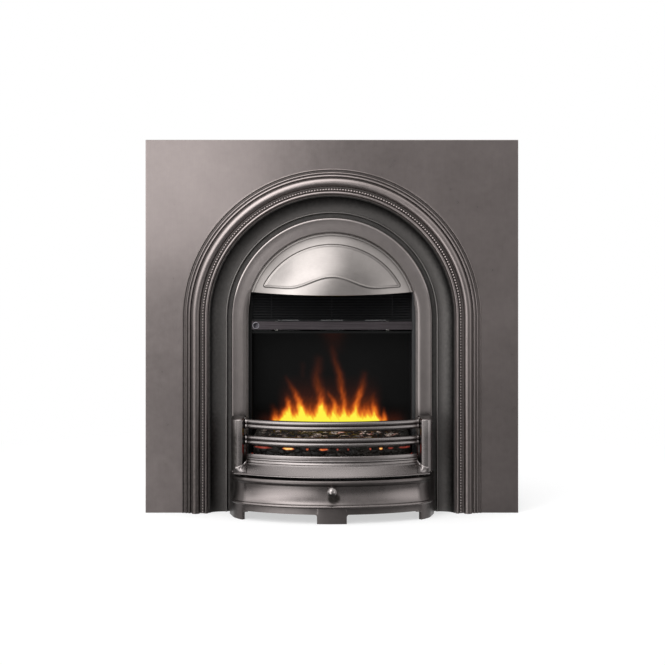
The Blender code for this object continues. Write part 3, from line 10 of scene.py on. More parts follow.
import bpy
import numpy as np
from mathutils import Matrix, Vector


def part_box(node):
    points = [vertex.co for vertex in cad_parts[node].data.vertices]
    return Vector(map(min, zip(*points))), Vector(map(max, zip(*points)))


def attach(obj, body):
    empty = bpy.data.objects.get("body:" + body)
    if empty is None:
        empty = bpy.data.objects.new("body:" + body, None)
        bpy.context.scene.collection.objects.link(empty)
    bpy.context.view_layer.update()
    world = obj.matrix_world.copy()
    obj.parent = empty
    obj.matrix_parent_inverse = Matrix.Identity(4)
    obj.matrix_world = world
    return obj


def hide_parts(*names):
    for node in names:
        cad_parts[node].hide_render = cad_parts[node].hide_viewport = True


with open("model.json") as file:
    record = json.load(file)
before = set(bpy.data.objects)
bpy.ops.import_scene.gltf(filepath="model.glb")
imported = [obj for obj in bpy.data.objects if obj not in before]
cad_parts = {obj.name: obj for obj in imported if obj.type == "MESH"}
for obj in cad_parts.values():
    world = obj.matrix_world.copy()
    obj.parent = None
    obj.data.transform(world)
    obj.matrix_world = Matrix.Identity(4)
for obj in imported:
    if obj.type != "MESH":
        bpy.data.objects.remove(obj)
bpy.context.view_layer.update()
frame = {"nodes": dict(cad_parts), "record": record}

# Sizes shared with the castings
WIDTH = 0.965
HEIGHT = 0.965
THICKNESS = 0.006
SPRING = 0.503
ROLL_PROUD = 0.018
FACE_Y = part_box("surround_plate")[0].y + ROLL_PROUD
MOULDING_INNER = 0.3170
MOULDING_OUTER = 0.3868
REVEAL_OUTER = 0.3167
FRAME_OUTER = 0.262
FRAME_BACK = 0.022
FRAME_DEEP = 0.010
HOOD_RIM_DEEP = 0.0135
LEDGE_DEEP = 0.0223
FLANGE_DEEP = 0.0263
BOW_RADIUS = 0.430
BOW_CENTRE = 0.312
BAR_HALF = 0.2248
BAR_ROUND = 0.0016
ROLL_RADIUS = 0.006
ROLL_SHIFT = 0.00575
SHELF_HALF = 0.2480
BALL_RADIUS = 0.0135


# Grids and shells

def grid_quads(rows, columns, ring_rows=False, ring_columns=False):
    """Corner numbers of every quad of a grid of rows x columns points; a ring joins its last
    row or column to its first."""
    r, c = np.meshgrid(
        np.arange(rows if ring_rows else rows - 1),
        np.arange(columns if ring_columns else columns - 1),
        indexing="ij",
    )
    r2, c2 = (r + 1) % rows, (c + 1) % columns
    corners = (r * columns + c, r * columns + c2, r2 * columns + c2, r2 * columns + c)
    return np.stack(corners, -1).reshape(-1, 4)


def signed_volume(co, faces):
    """Six times the volume inside closed faces: the sum of the triple products of each fan."""
    total = 0.0
    for block in faces:
        first = co[block[:, 0]]
        for i in range(1, block.shape[1] - 1):
            turn = np.cross(co[block[:, i]], co[block[:, i + 1]])
            total += float((first * turn).sum())
    return total


def shell(co, faces, groove=None, flow=None):
    """A closed surface with its faces outward, a groove mask and a flow coordinate a point."""
    co = np.asarray(co, float).reshape(-1, 3)
    if signed_volume(co, faces) < 0:
        faces = [block[:, ::-1] for block in faces]
    groove = np.zeros(len(co)) if groove is None else np.asarray(groove, float).reshape(-1)
    flow = co.copy() if flow is None else np.asarray(flow, float).reshape(-1, 3)
    return {"co": co, "faces": faces, "groove": groove, "flow": flow}


def carried(points, groove=None, flow=None, ring=False):
    """A closed section carried along stations: points[station, place on the section]. The ends
    are capped with one flat face each, unless the stations run round in a ring."""
    stations, places = points.shape[:2]
    faces = [grid_quads(stations, places, ring, True)]
    if not ring:
        caps = np.array([np.arange(places)[::-1], np.arange(places) + (stations - 1) * places])
        faces.append(caps)
    return shell(points, faces, groove, flow)


def rounded(corners, radius, steps=4):
    """A closed outline with each corner replaced by a short curve: a quadratic Bezier arc from
    a point before the corner to one after it, no longer than 45% of either side."""
    corners = np.asarray(corners, float)
    radius = np.broadcast_to(np.asarray(radius, float), len(corners))
    before, after = np.roll(corners, 1, 0) - corners, np.roll(corners, -1, 0) - corners
    length_a = np.linalg.norm(before, axis=1)
    length_b = np.linalg.norm(after, axis=1)
    start = corners + before * (np.minimum(radius / length_a, 0.45))[:, None]
    end = corners + after * (np.minimum(radius / length_b, 0.45))[:, None]
    t = np.linspace(0, 1, steps + 1)[None, :, None]
    curve = (1 - t) ** 2 * start[:, None] + 2 * t * (1 - t) * corners[:, None] + t**2 * end[:, None]
    return curve.reshape(-1, 2)


def vertex_normals(co, faces):
    """Area-weighted normals: each face's cross product of diagonals added to its corners."""
    total = np.zeros_like(co)
    for block in faces:
        a = co[block[:, 0]]
        middle = co[block[:, block.shape[1] // 2]]
        side = co[block[:, 1]]
        last = co[block[:, -1]]
        normal = np.cross(middle - a, last - side)
        for i in range(block.shape[1]):
            np.add.at(total, block[:, i], normal)
    return total / np.maximum(np.linalg.norm(total, axis=1), 1e-12)[:, None]


def smoothstep(low, high, value):
    """0 below low, 1 above high, and an even S between them."""
    t = np.clip((value - low) / (high - low), 0, 1)
    return t * t * (3 - 2 * t)


def joined(*parts, axis=0):
    """Arrays and lists one after another."""
    return np.concatenate(parts, axis)


def bell(value, centre, width):
    """A bell curve of value about centre, 1 at its middle."""
    return np.exp(-(((value - centre) / width) ** 2))


def path_run(points):
    """Distance along a path from its first point."""
    return joined([0], np.cumsum(np.linalg.norm(np.diff(points, axis=0), axis=1)))


def flow_along(run, across):
    """Flow coordinates of a grid: along the path, then across the section, which is given as
    distances or as points."""
    if not np.ndim(across[0]):
        return np.stack(np.broadcast_arrays(run[:, None], across[None], 0.0), -1)
    return flow_along(run, path_run(across))


def new_object(name, data):
    """An object of the scene that shows a mesh, a lamp or a camera."""
    made = bpy.data.objects.new(name, data)
    bpy.context.scene.collection.objects.link(made)
    return made


def paint(node, material):
    """Gives a CAD node one material."""
    materials = frame["nodes"][node].data.materials
    materials.clear()
    materials.append(material)


def rear_centre(low, high):
    """The middle of the rear face of a box."""
    return (low.x + high.x) / 2, high.y, (low.z + high.z) / 2


def make_piece(name, shells, material, body, nodes=(), sharp=38, extra=None):
    """One object from shells, riding on a body and standing for CAD nodes. Its under attribute
    marks the faces that look down, which the iron finish darkens as painted shade."""
    co = np.vstack([s["co"] for s in shells])
    starts = np.cumsum([0] + [len(s["co"]) for s in shells])
    blocks = [block + start for s, start in zip(shells, starts) for block in s["faces"]]
    normals = vertex_normals(co, blocks)
    groove = np.concatenate([s["groove"] for s in shells])
    # Painted shade on faces that look down.
    under = smoothstep(0.15, 0.85, -normals[:, 2])
    flow = np.vstack([s["flow"] for s in shells])
    mesh = bpy.data.meshes.new(name)
    mesh.from_pydata(co.tolist(), [], [face for block in blocks for face in block.tolist()])
    for title, values in (("groove", groove), ("under", under), *(extra or {}).items()):
        attribute = mesh.attributes.new(title, "FLOAT", "POINT")
        attribute.data.foreach_set("value", np.asarray(values, np.float32))
    attribute = mesh.attributes.new("flow", "FLOAT_VECTOR", "POINT")
    attribute.data.foreach_set("vector", flow.astype(np.float32).ravel())
    mesh.materials.append(material)
    mesh.shade_smooth()
    mesh.set_sharp_from_angle(angle=math.radians(sharp))
    piece = new_object(name, mesh)
    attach(piece, body)
    if nodes:
        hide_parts(*nodes)
    return piece


def place(x, proud, z):
    """World points from x, distance ahead of the plate's face and height."""
    x, proud, z = np.broadcast_arrays(x, proud, z)
    return np.stack([x, FACE_Y - proud, z], -1)


def block(low, high, edge, centre=None, turn=None):
    """A block with rounded edges: a rounded rectangle carried up, drawn in at both ends. Low
    and high are (x, proud, z) corners; turn is an angle about the y axis through centre."""
    low, high = np.asarray(low, float), np.asarray(high, float)
    corners = [(low[0], low[1]), (high[0], low[1]), (high[0], high[1]), (low[0], high[1])]
    outline = rounded(corners, edge, 4)
    middle = (low[:2] + high[:2]) / 2
    half = (high[:2] - low[:2]) / 2
    inset = np.array([1, 0.3, 0, 0, 0.3, 1]) * edge
    rise = np.array([0, 0.3, 1, 1, 0.3, 0]) * edge
    level = np.array([low[2]] * 3 + [high[2]] * 3) + rise * np.array([1, 1, 1, -1, -1, -1])
    share = 1 - inset[:, None] / half[None, :]
    points = middle + (outline[None] - middle) * share[:, None, :]
    x, proud, z = points[..., 0], points[..., 1], np.broadcast_to(level[:, None], points.shape[:2])
    if turn is not None:
        dx, dz = x, z
        c, s = math.cos(turn), math.sin(turn)
        x = centre[0] + dx * c - dz * s
        z = centre[1] + dx * s + dz * c
    return carried(place(x, proud, z))


def revolved(profile, start, sides=48, closed=False):
    """A profile of (radius, distance along -y) turned about a level axis through start. A
    closed profile makes a ring."""
    profile = np.asarray(profile, float)
    turn = np.linspace(0, 2 * math.pi, sides, endpoint=False)
    radius, along = profile[:, 0][None], profile[:, 1][None]
    x = start[0] + radius * np.cos(turn)[:, None]
    z = start[2] + radius * np.sin(turn)[:, None]
    y = np.broadcast_to(start[1] - along, x.shape)
    points = np.stack([x, y, z], -1)
    faces = [grid_quads(sides, len(profile), True, closed)]
    if not closed:
        last = len(profile) - 1
        faces.append(np.array([np.arange(sides) * len(profile)]))
        faces.append(np.array([(np.arange(sides) * len(profile) + last)[::-1]]))
    return shell(points, faces)


# Paths

def arch_stations(steps=144, leg=6, extra=()):
    """Centres, outward directions and run along the arch: up the left leg, over the half
    circle about the springing, and down the right leg."""
    turns = np.unique(joined(np.linspace(0, math.pi, steps + 1), extra))[::-1]
    rise = np.linspace(0, SPRING, leg + 1)[:-1]
    zero = np.zeros
    centre = joined(
        np.stack([zero(leg), rise], -1),
        np.stack([zero(len(turns)), np.full(len(turns), SPRING)], -1),
        np.stack([zero(leg), rise[::-1]], -1),
    )
    out = joined(
        np.tile([-1.0, 0.0], (leg, 1)),
        np.stack([np.cos(turns), np.sin(turns)], -1),
        np.tile([1.0, 0.0], (leg, 1)),
    )
    return centre, out, path_run(centre + 0.33 * out)


def arch_shell(radius, proud, groove=None, steps=144):
    """A closed section of (radius, proud) carried round the arch."""
    centre, out, run = arch_stations(steps)
    radius, proud = np.asarray(radius, float), np.asarray(proud, float)
    flat = centre[:, None] + radius[None, :, None] * out[:, None]
    points = place(flat[..., 0], proud[None], flat[..., 1])
    flow = flow_along(run, np.stack([radius, proud], -1))
    mask = None if groove is None else np.broadcast_to(groove, points.shape[:2])
    return carried(points, mask, flow)


def bow_depth(x, offset):
    """How far ahead of the plate a line runs that keeps offset ahead of the shared bow: the
    arc of radius BOW_RADIUS + offset about a centre behind the plate."""
    return np.sqrt((BOW_RADIUS + offset) ** 2 - x**2) - BOW_CENTRE


# Materials

SOCKET_KIND = {type(None): "NodeSocketVector", tuple: "NodeSocketColor", float: "NodeSocketFloat"}


def finish_group(name, inputs):
    """An empty node group: its inputs are vectors (None), colours and numbers, and it gives a
    colour, a roughness and a height."""
    group = bpy.data.node_groups.new(name, "ShaderNodeTree")
    for title, value in inputs.items():
        kind = SOCKET_KIND[type(value)]
        socket = group.interface.new_socket(title, in_out="INPUT", socket_type=kind)
        if value is not None:
            socket.default_value = value
    for title, kind in (("Color", tuple), ("Roughness", float), ("Height", float)):
        group.interface.new_socket(title, in_out="OUTPUT", socket_type=SOCKET_KIND[kind])
    entry = group.nodes.new("NodeGroupInput")
    leave = group.nodes.new("NodeGroupOutput")
    return group, entry.outputs, leave.inputs


def noise(tree, vector, scale, detail=3.0, rough=0.5, distortion=0.0):
    """A noise texture's value over a vector."""
    node = tree.nodes.new("ShaderNodeTexNoise")
    node.inputs["Scale"].default_value = scale
    node.inputs["Detail"].default_value = detail
    node.inputs["Roughness"].default_value = rough
    node.inputs["Distortion"].default_value = distortion
    tree.links.new(vector, node.inputs["Vector"])
    return node.outputs["Fac"]


def math_node(tree, operation, a, b=None, c=None, clamp=False):
    """One arithmetic step between sockets or numbers."""
    node = tree.nodes.new("ShaderNodeMath")
    node.operation = operation
    node.use_clamp = clamp
    for socket, value in zip(node.inputs, (a, b, c)):
        if value is None:
            continue
        if isinstance(value, (int, float)):
            socket.default_value = value
        else:
            tree.links.new(value, socket)
    return node.outputs[0]


def stretched(tree, vector, scale, location=(0, 0, 0)):
    """A vector scaled differently along its axes."""
    node = tree.nodes.new("ShaderNodeMapping")
    node.inputs["Scale"].default_value = scale
    node.inputs["Location"].default_value = location
    tree.links.new(vector, node.inputs["Vector"])
    return node.outputs[0]


def mixed(tree, factor, a, b, blend="MIX"):
    """Two colours mixed by a factor; each is a socket or a colour."""
    node = tree.nodes.new("ShaderNodeMix")
    node.data_type = "RGBA"
    node.blend_type = blend
    node.clamp_factor = True
    for socket, value in ((node.inputs[0], factor), (node.inputs[6], a), (node.inputs[7], b)):
        if isinstance(value, (int, float)):
            socket.default_value = value
        elif isinstance(value, (tuple, list)):
            socket.default_value = (*value, 1)
        else:
            tree.links.new(value, socket)
    return node.outputs[2]


def eased(tree, value, start, stop, low, high):
    """A value that goes in an even S from low at start to high at stop."""
    node = tree.nodes.new("ShaderNodeMapRange")
    node.interpolation_type = "SMOOTHSTEP"
    numbers = (start, stop, low, high)
    for title, number in zip(("From Min", "From Max", "To Min", "To Max"), numbers):
        node.inputs[title].default_value = number
    tree.links.new(value, node.inputs["Value"])
    return node.outputs["Result"]


def ramp(tree, factor, stops):
    """A colour ramp from (place, colour) stops."""
    node = tree.nodes.new("ShaderNodeValToRGB")
    band = node.color_ramp
    for number, (where, colour) in enumerate(stops):
        stop = band.elements[number] if number < 2 else band.elements.new(where)
        stop.position = where
        stop.color = (*colour, 1)
    tree.links.new(factor, node.inputs[0])
    return node.outputs[0]


def make_iron_group():
    """Burnished cast iron: cloudy tone, fine polishing streaks along the flow, pin holes, black
    lead with painted shade in grooves, and painted shade on undersides; where the groove mask is
    below zero it carries a painted highlight."""
    group, given, made = finish_group(
        "burnished_iron",
        {
            "Vector": None,
            "Flow": None,
            "Tone": (0.17, 0.15, 0.145, 1),
            "Black": (0.018, 0.016, 0.015, 1),
            "Groove": 0.0,
            "Under": 0.0,
            "Roughness": 0.33,
            "Cloud": 0.14,
            "Streak": 0.10,
        },
    )
    cloud = noise(group, given["Vector"], 5.5, 4.0, 0.55, 0.4)
    mottle = noise(group, given["Vector"], 60.0, 3.0, 0.6)
    streak = noise(group, stretched(group, given["Flow"], (14, 700, 700)), 1.0, 3.0, 0.6)
    grain = noise(group, given["Vector"], 900.0, 2.0, 0.6)
    swing = math_node(group, "SUBTRACT", cloud, 0.5)
    swing = math_node(group, "MULTIPLY", swing, given["Cloud"])
    fine = math_node(group, "SUBTRACT", streak, 0.5)
    fine = math_node(group, "MULTIPLY", fine, given["Streak"])
    spots = math_node(group, "SUBTRACT", mottle, 0.5)
    spots = math_node(group, "MULTIPLY", spots, 0.10)
    total = math_node(group, "ADD", math_node(group, "ADD", swing, fine), spots)
    level = math_node(group, "MULTIPLY_ADD", total, 2.0, 1.0)
    # Below zero the groove mask is a painted highlight that lifts the tone.
    painted_highlight = math_node(group, "MULTIPLY", given["Groove"], -1.0, clamp=True)
    level = math_node(group, "MULTIPLY", level, math_node(group, "ADD", painted_highlight, 1.0))
    brighter = mixed(group, 1.0, given["Tone"], level, "MULTIPLY")
    edge = noise(group, given["Vector"], 140.0, 2.0)
    patchy = math_node(group, "MULTIPLY_ADD", edge, 0.6, 0.7)
    # Black lead and painted shade from the groove mask, broken by noise, and painted shade on faces
    # that look down.
    lead_and_shade = math_node(group, "MULTIPLY", given["Groove"], patchy, clamp=True)
    lead_and_shade = math_node(group, "MAXIMUM", lead_and_shade, math_node(group, "MULTIPLY", given["Under"], 0.3))
    group.links.new(mixed(group, lead_and_shade, brighter, given["Black"]), made["Color"])
    rough = math_node(group, "SUBTRACT", mottle, 0.5)
    rough = math_node(group, "MULTIPLY_ADD", rough, 0.09, given["Roughness"])
    rough = math_node(group, "MULTIPLY_ADD", swing, 0.35, rough)
    rough = math_node(group, "MULTIPLY_ADD", lead_and_shade, 0.18, rough, clamp=True)
    group.links.new(rough, made["Roughness"])
    height = math_node(group, "MULTIPLY", grain, 0.35)
    height = math_node(group, "MULTIPLY_ADD", streak, 0.5, height)
    height = math_node(group, "MULTIPLY_ADD", mottle, 0.8, height)
    group.links.new(height, made["Height"])
    return group


def make_coat_group():
    """Sprayed or moulded finish: fine orange peel, faint cloud of dust."""
    group, given, made = finish_group(
        "coated_sheet",
        {
            "Vector": None,
            "Tone": (0.02, 0.02, 0.02, 1),
            "Roughness": 0.5,
            "Peel": 500.0,
            "Variation": 0.2,
        },
    )
    peel = group.nodes.new("ShaderNodeTexNoise")
    peel.inputs["Detail"].default_value = 2.0
    group.links.new(given["Vector"], peel.inputs["Vector"])
    group.links.new(given["Peel"], peel.inputs["Scale"])
    cloud = noise(group, given["Vector"], 9.0, 4.0, 0.6)
    swing = math_node(group, "SUBTRACT", cloud, 0.5)
    swing = math_node(group, "MULTIPLY", swing, given["Variation"])
    level = math_node(group, "MULTIPLY_ADD", swing, 2.0, 1.0)
    group.links.new(mixed(group, 1.0, given["Tone"], level, "MULTIPLY"), made["Color"])
    rough = math_node(group, "MULTIPLY_ADD", swing, 0.6, given["Roughness"])
    group.links.new(rough, made["Roughness"])
    group.links.new(peel.outputs["Fac"], made["Height"])
    return group


def make_sheet_group():
    """Rolled or brushed metal: fine lines along one axis and a faint cloud."""
    group, given, made = finish_group(
        "brushed_sheet",
        {"Vector": None, "Tone": (0.5, 0.5, 0.5, 1), "Roughness": 0.4, "Lines": 0.3},
    )
    lines = noise(group, stretched(group, given["Vector"], (12, 1500, 1500)), 1.0, 2.0)
    cloud = noise(group, given["Vector"], 25.0, 3.0, 0.6)
    fine = math_node(group, "MULTIPLY", math_node(group, "SUBTRACT", lines, 0.5), given["Lines"])
    swing = math_node(group, "MULTIPLY", math_node(group, "SUBTRACT", cloud, 0.5), 0.2)
    level = math_node(group, "MULTIPLY_ADD", math_node(group, "ADD", fine, swing), 2.0, 1.0)
    group.links.new(mixed(group, 1.0, given["Tone"], level, "MULTIPLY"), made["Color"])
    rough = math_node(group, "ADD", given["Roughness"], fine)
    group.links.new(rough, made["Roughness"])
    group.links.new(lines, made["Height"])
    return group


IRON_GROUP = make_iron_group()
COAT_GROUP = make_coat_group()
SHEET_GROUP = make_sheet_group()


def new_material(name, metallic=0.0, specular=0.5):
    """A material with its tree, its shader and its Object coordinates."""
    material = bpy.data.materials.new(name)
    material.use_nodes = True
    tree = material.node_tree
    shader = tree.nodes["Principled BSDF"]
    shader.inputs["Metallic"].default_value = metallic
    shader.inputs["Specular IOR Level"].default_value = specular
    coordinates = tree.nodes.new("ShaderNodeTexCoord").outputs["Object"]
    return material, tree, shader, coordinates


def attribute_value(tree, name, output="Fac"):
    """A named attribute of the mesh."""
    node = tree.nodes.new("ShaderNodeAttribute")
    node.attribute_name = name
    return node.outputs[output]


def bumped(tree, shader, height, strength, distance):
    """Joins a height to the shader's normal."""
    relief = tree.nodes.new("ShaderNodeBump")
    relief.inputs["Strength"].default_value = strength
    relief.inputs["Distance"].default_value = distance
    tree.links.new(height, relief.inputs["Height"])
    tree.links.new(relief.outputs["Normal"], shader.inputs["Normal"])


def with_group(tree, shader, group, links, values, bump, distance):
    """Places a finish group and joins its colour, roughness and height to the shader. Links
    are sockets and values are numbers or colours for its inputs."""
    node = tree.nodes.new("ShaderNodeGroup")
    node.node_tree = group
    for title, source in links.items():
        tree.links.new(source, node.inputs[title])
    for title, value in values.items():
        node.inputs[title].default_value = (*value, 1) if isinstance(value, tuple) else value
    tree.links.new(node.outputs["Color"], shader.inputs["Base Color"])
    tree.links.new(node.outputs["Roughness"], shader.inputs["Roughness"])
    bumped(tree, shader, node.outputs["Height"], bump, distance)


def iron(name, tone, roughness, cloud=0.14, streak=0.10, black=(0.028, 0.025, 0.023), bump=0.10):
    """Burnished cast iron that reads the groove, under and flow attributes."""
    material, tree, shader, coordinates = new_material(name, metallic=1.0)
    links = {
        "Vector": coordinates,
        "Flow": attribute_value(tree, "flow", "Vector"),
        "Groove": attribute_value(tree, "groove"),
        "Under": attribute_value(tree, "under"),
    }
    values = {"Tone": tone, "Black": black, "Roughness": roughness}
    values |= {"Cloud": cloud, "Streak": streak}
    with_group(tree, shader, IRON_GROUP, links, values, bump, 0.0004)
    return material


def coat(name, tone, roughness, peel=500.0, variation=0.2, metallic=0.0, specular=0.5, bump=0.15):
    """Painted or moulded finish."""
    material, tree, shader, coordinates = new_material(name, metallic, specular)
    values = {"Tone": tone, "Roughness": roughness, "Peel": peel, "Variation": variation}
    with_group(tree, shader, COAT_GROUP, {"Vector": coordinates}, values, bump, 0.0003)
    return material


def brushed(name, tone, roughness, lines=0.3, bump=0.1):
    """Brushed or rolled metal."""
    material, tree, shader, coordinates = new_material(name, metallic=1.0)
    values = {"Tone": tone, "Roughness": roughness, "Lines": lines}
    with_group(tree, shader, SHEET_GROUP, {"Vector": coordinates}, values, bump, 0.0002)
    return material


PLATE_IRON = iron("polished_plate", (0.175, 0.152, 0.147), 0.30, cloud=0.20, streak=0.08)
FRAME_IRON = iron("polished_frame", (0.195, 0.174, 0.168), 0.30)
HOOD_IRON = iron("polished_hood", (0.250, 0.230, 0.220), 0.30, cloud=0.30)
FRET_IRON = iron("polished_fret", (0.190, 0.172, 0.168), 0.27, bump=0.05)
COVER_IRON = iron("polished_cover", (0.165, 0.146, 0.142), 0.27, cloud=0.25)
COVE_IRON = iron("black_cove", (0.105, 0.098, 0.094), 0.42, black=(0.012, 0.012, 0.012))
KNOB_METAL = iron("bright_knob", (0.24, 0.22, 0.215), 0.18, bump=0.05)

SLOT_FINISH = {
    "polished_iron": FRAME_IRON,
    "black_iron": COVE_IRON,
    "black_steel": coat("black_steel", (0.016, 0.016, 0.017), 0.45, 700.0),
    "zinc_steel": brushed("zinc_steel", (0.45, 0.45, 0.44), 0.38),
    "brushed_fascia": brushed("brushed_fascia", (0.060, 0.052, 0.056), 0.36, 0.5),
    "bright_knob": KNOB_METAL,
    "dark_glass": coat("dark_glass", (0.004, 0.004, 0.004), 0.22, 60.0, specular=0.12, bump=0.02),
    "black_plastic": coat("black_plastic", (0.012, 0.012, 0.012), 0.5, 900.0, specular=0.3),
    "coal": coat("coal", (0.012, 0.010, 0.009), 0.6, 200.0, bump=0.6),
    "circuit_green": coat("circuit_green", (0.02, 0.11, 0.05), 0.4, 300.0),
    "brass": brushed("brass", (0.60, 0.43, 0.16), 0.3),
    "ceramic": coat("ceramic", (0.72, 0.70, 0.65), 0.7, 400.0),
    "bright_foil": brushed("bright_foil", (0.80, 0.80, 0.80), 0.15),
    "white_plastic": coat("white_plastic", (0.68, 0.68, 0.66), 0.45, 800.0),
}

for part in frame["record"]["subparts"]:
    paint(part["node"], SLOT_FINISH[part["material_slot"]])


# Cast surround

# Members of the arched moulding from its outer edge inward: kind, width, foot, height
MOULDING = (
    ("round", 0.0032, 0.0024, 0.0050),
    ("flat", 0.0056, 0.0018, 0.0018),
    ("round", 0.0042, 0.0040, 0.0065),
    ("flat", 0.0026, 0.0022, 0.0022),
    ("round", 0.0062, 0.0055, 0.0085),
    ("flat", 0.0030, 0.0030, 0.0030),
    ("round", 0.0208, 0.0100, 0.0180),
    ("flat", 0.0044, 0.0045, 0.0045),
    ("flat", 0.0072, 0.0064, 0.0064),
    ("flat", 0.0004, 0.0050, 0.0050),
    ("round", 0.0092, 0.0080, 0.0130),
    ("flat", 0.0030, 0.0034, 0.0034),
)
# Painted light on the moulding by height: painted shade low on the legs, a painted highlight high
# on the arch
PAINTED_LIGHT_BY_HEIGHT = (
    (0.0, 0.15, 0.30, 0.45, 0.53, 0.62, 0.72, 0.80),
    (0.72, 0.66, 0.48, 0.40, 0.25, 0.0, -0.40, -0.60),
)
PEARL_RING = 0.3334
PEARL_PITCH = 0.0073


def moulding_section():
    """Radius, proud and groove mask of the moulding inward: a round member is half an ellipse on
    its foot, with painted shade near the foot, and a flat one is a groove floor, dark with black
    lead and painted shade."""
    radius, proud, mask = [], [], []
    edge = MOULDING_OUTER
    for kind, width, foot, height in MOULDING:
        if kind == "round":
            count = 18 if width > 0.01 else 10
            t = np.linspace(0, math.pi, count)
            radius.append(edge - width * (0.5 - 0.498 * np.cos(t)))
            proud.append(foot + (height - foot) * np.sin(t))
            mask.append(0.6 * (1 - smoothstep(0.0, 0.25, np.sin(t))))
        else:
            radius.append(edge - np.array([0.04, 0.5, 0.96]) * width)
            proud.append(np.full(3, foot))
            mask.append(np.array([0.8, 0.65, 0.8]))
        edge -= width
    return np.concatenate(radius), np.concatenate(proud), np.concatenate(mask)


def make_surround():
    """The plate and its moulding as one section: each place on it lies either on a radius from
    the arch's centre, or on a share of the way from the moulding to the plate's outline.
    The moulding carries painted light by height, painted shade low on the legs and a painted
    highlight on the arch, with less painted shade on its right leg than on its left."""
    corner = math.atan2(HEIGHT - SPRING, WIDTH / 2)
    centre, out, run = arch_stations(144, 6, (corner, math.pi - corner))
    radius, proud, groove = moulding_section()
    edge_inset = np.array([0.0008, 0, 0, 0.0004, 0.0016])
    edge_proud = np.array([-THICKNESS, 0.0008 - THICKNESS, -0.0014, -0.0004, 0])
    share = np.array([0.985, 0.75, 0.5, 0.25, 0.015])
    flat = np.full(5, MOULDING_OUTER + 0.0002)
    inner = np.array([MOULDING_INNER, MOULDING_INNER, MOULDING_INNER + 0.0006, 0.350])
    inner_proud = np.array([0.0024, 0.0006 - THICKNESS, -THICKNESS, -THICKNESS])
    radii = joined(flat, flat, [MOULDING_OUTER], radius, inner, flat[:2])
    prouds = joined(edge_proud, np.zeros(6), proud, inner_proud, np.full(2, -THICKNESS))
    shares = joined(np.ones(5), share, np.zeros(1 + len(radius) + 4), [0, 0.5])
    insets = joined(edge_inset, np.zeros(6 + len(radius) + 4), [0, 0])
    # Painted shade in the moulding's grooves, with black lead there too, and on the moulding's
    # inner wall.
    masks = joined(np.zeros(10), [0.1], groove, [0.9, 0.9, 0.5, 0.0], np.zeros(2))

    base = centre[:, None] + radii[None, :, None] * out[:, None]
    side = (WIDTH / 2) / np.maximum(np.abs(out[:, 0]), 1e-9)
    top = np.where(out[:, 1] > 1e-9, (HEIGHT - SPRING) / np.maximum(out[:, 1], 1e-9), 1e9)
    outline = centre + np.minimum(side, top)[:, None] * out
    limit_x = WIDTH / 2 - insets[None]
    outer_x = np.clip(outline[:, None, 0], -limit_x, limit_x)
    outer_z = np.minimum(outline[:, None, 1], HEIGHT - insets[None])
    x = base[..., 0] * (1 - shares) + outer_x * shares
    z = base[..., 1] * (1 - shares) + outer_z * shares
    points = place(x, prouds[None], z)
    flow = flow_along(run, radii)
    plain = shares > 0
    flow[:, plain] = np.stack([z[:, plain], x[:, plain], 0 * x[:, plain]], -1)
    height = (centre + 0.35 * out)[:, 1]
    # Painted light by height: painted shade low down, a painted highlight high on the arch.
    light_by_height = np.interp(height, PAINTED_LIGHT_BY_HEIGHT[0], PAINTED_LIGHT_BY_HEIGHT[1])
    member = joined(np.zeros(10), [1], np.ones(len(radius)), np.zeros(6))
    member = member * np.where(masks > 0.62, 0.4, 1.0)
    right = out[:, 0] > 0
    # The right leg gets less painted shade than the left.
    light_by_height = np.where(right & (light_by_height > 0), 0.62 * light_by_height, light_by_height)
    mask = masks[None] + light_by_height[:, None] * member[None] * (1 - masks[None])
    # Groove floors low on the legs lose part of their painted shade, more on the right.
    cleared = smoothstep(0.70, 0.50, height) * np.where(right, 0.40, 0.15)
    mask = mask - cleared[:, None] * ((masks > 0.62) & (member > 0))[None]
    shells = [carried(points, mask, flow), make_pearls()]
    for side_x in (-0.3797, 0.3797):
        for height in (0.20, 0.80):
            shells.append(make_lug(side_x, height))
    make_piece("cast_surround", shells, PLATE_IRON, "insert", ["surround_plate"])


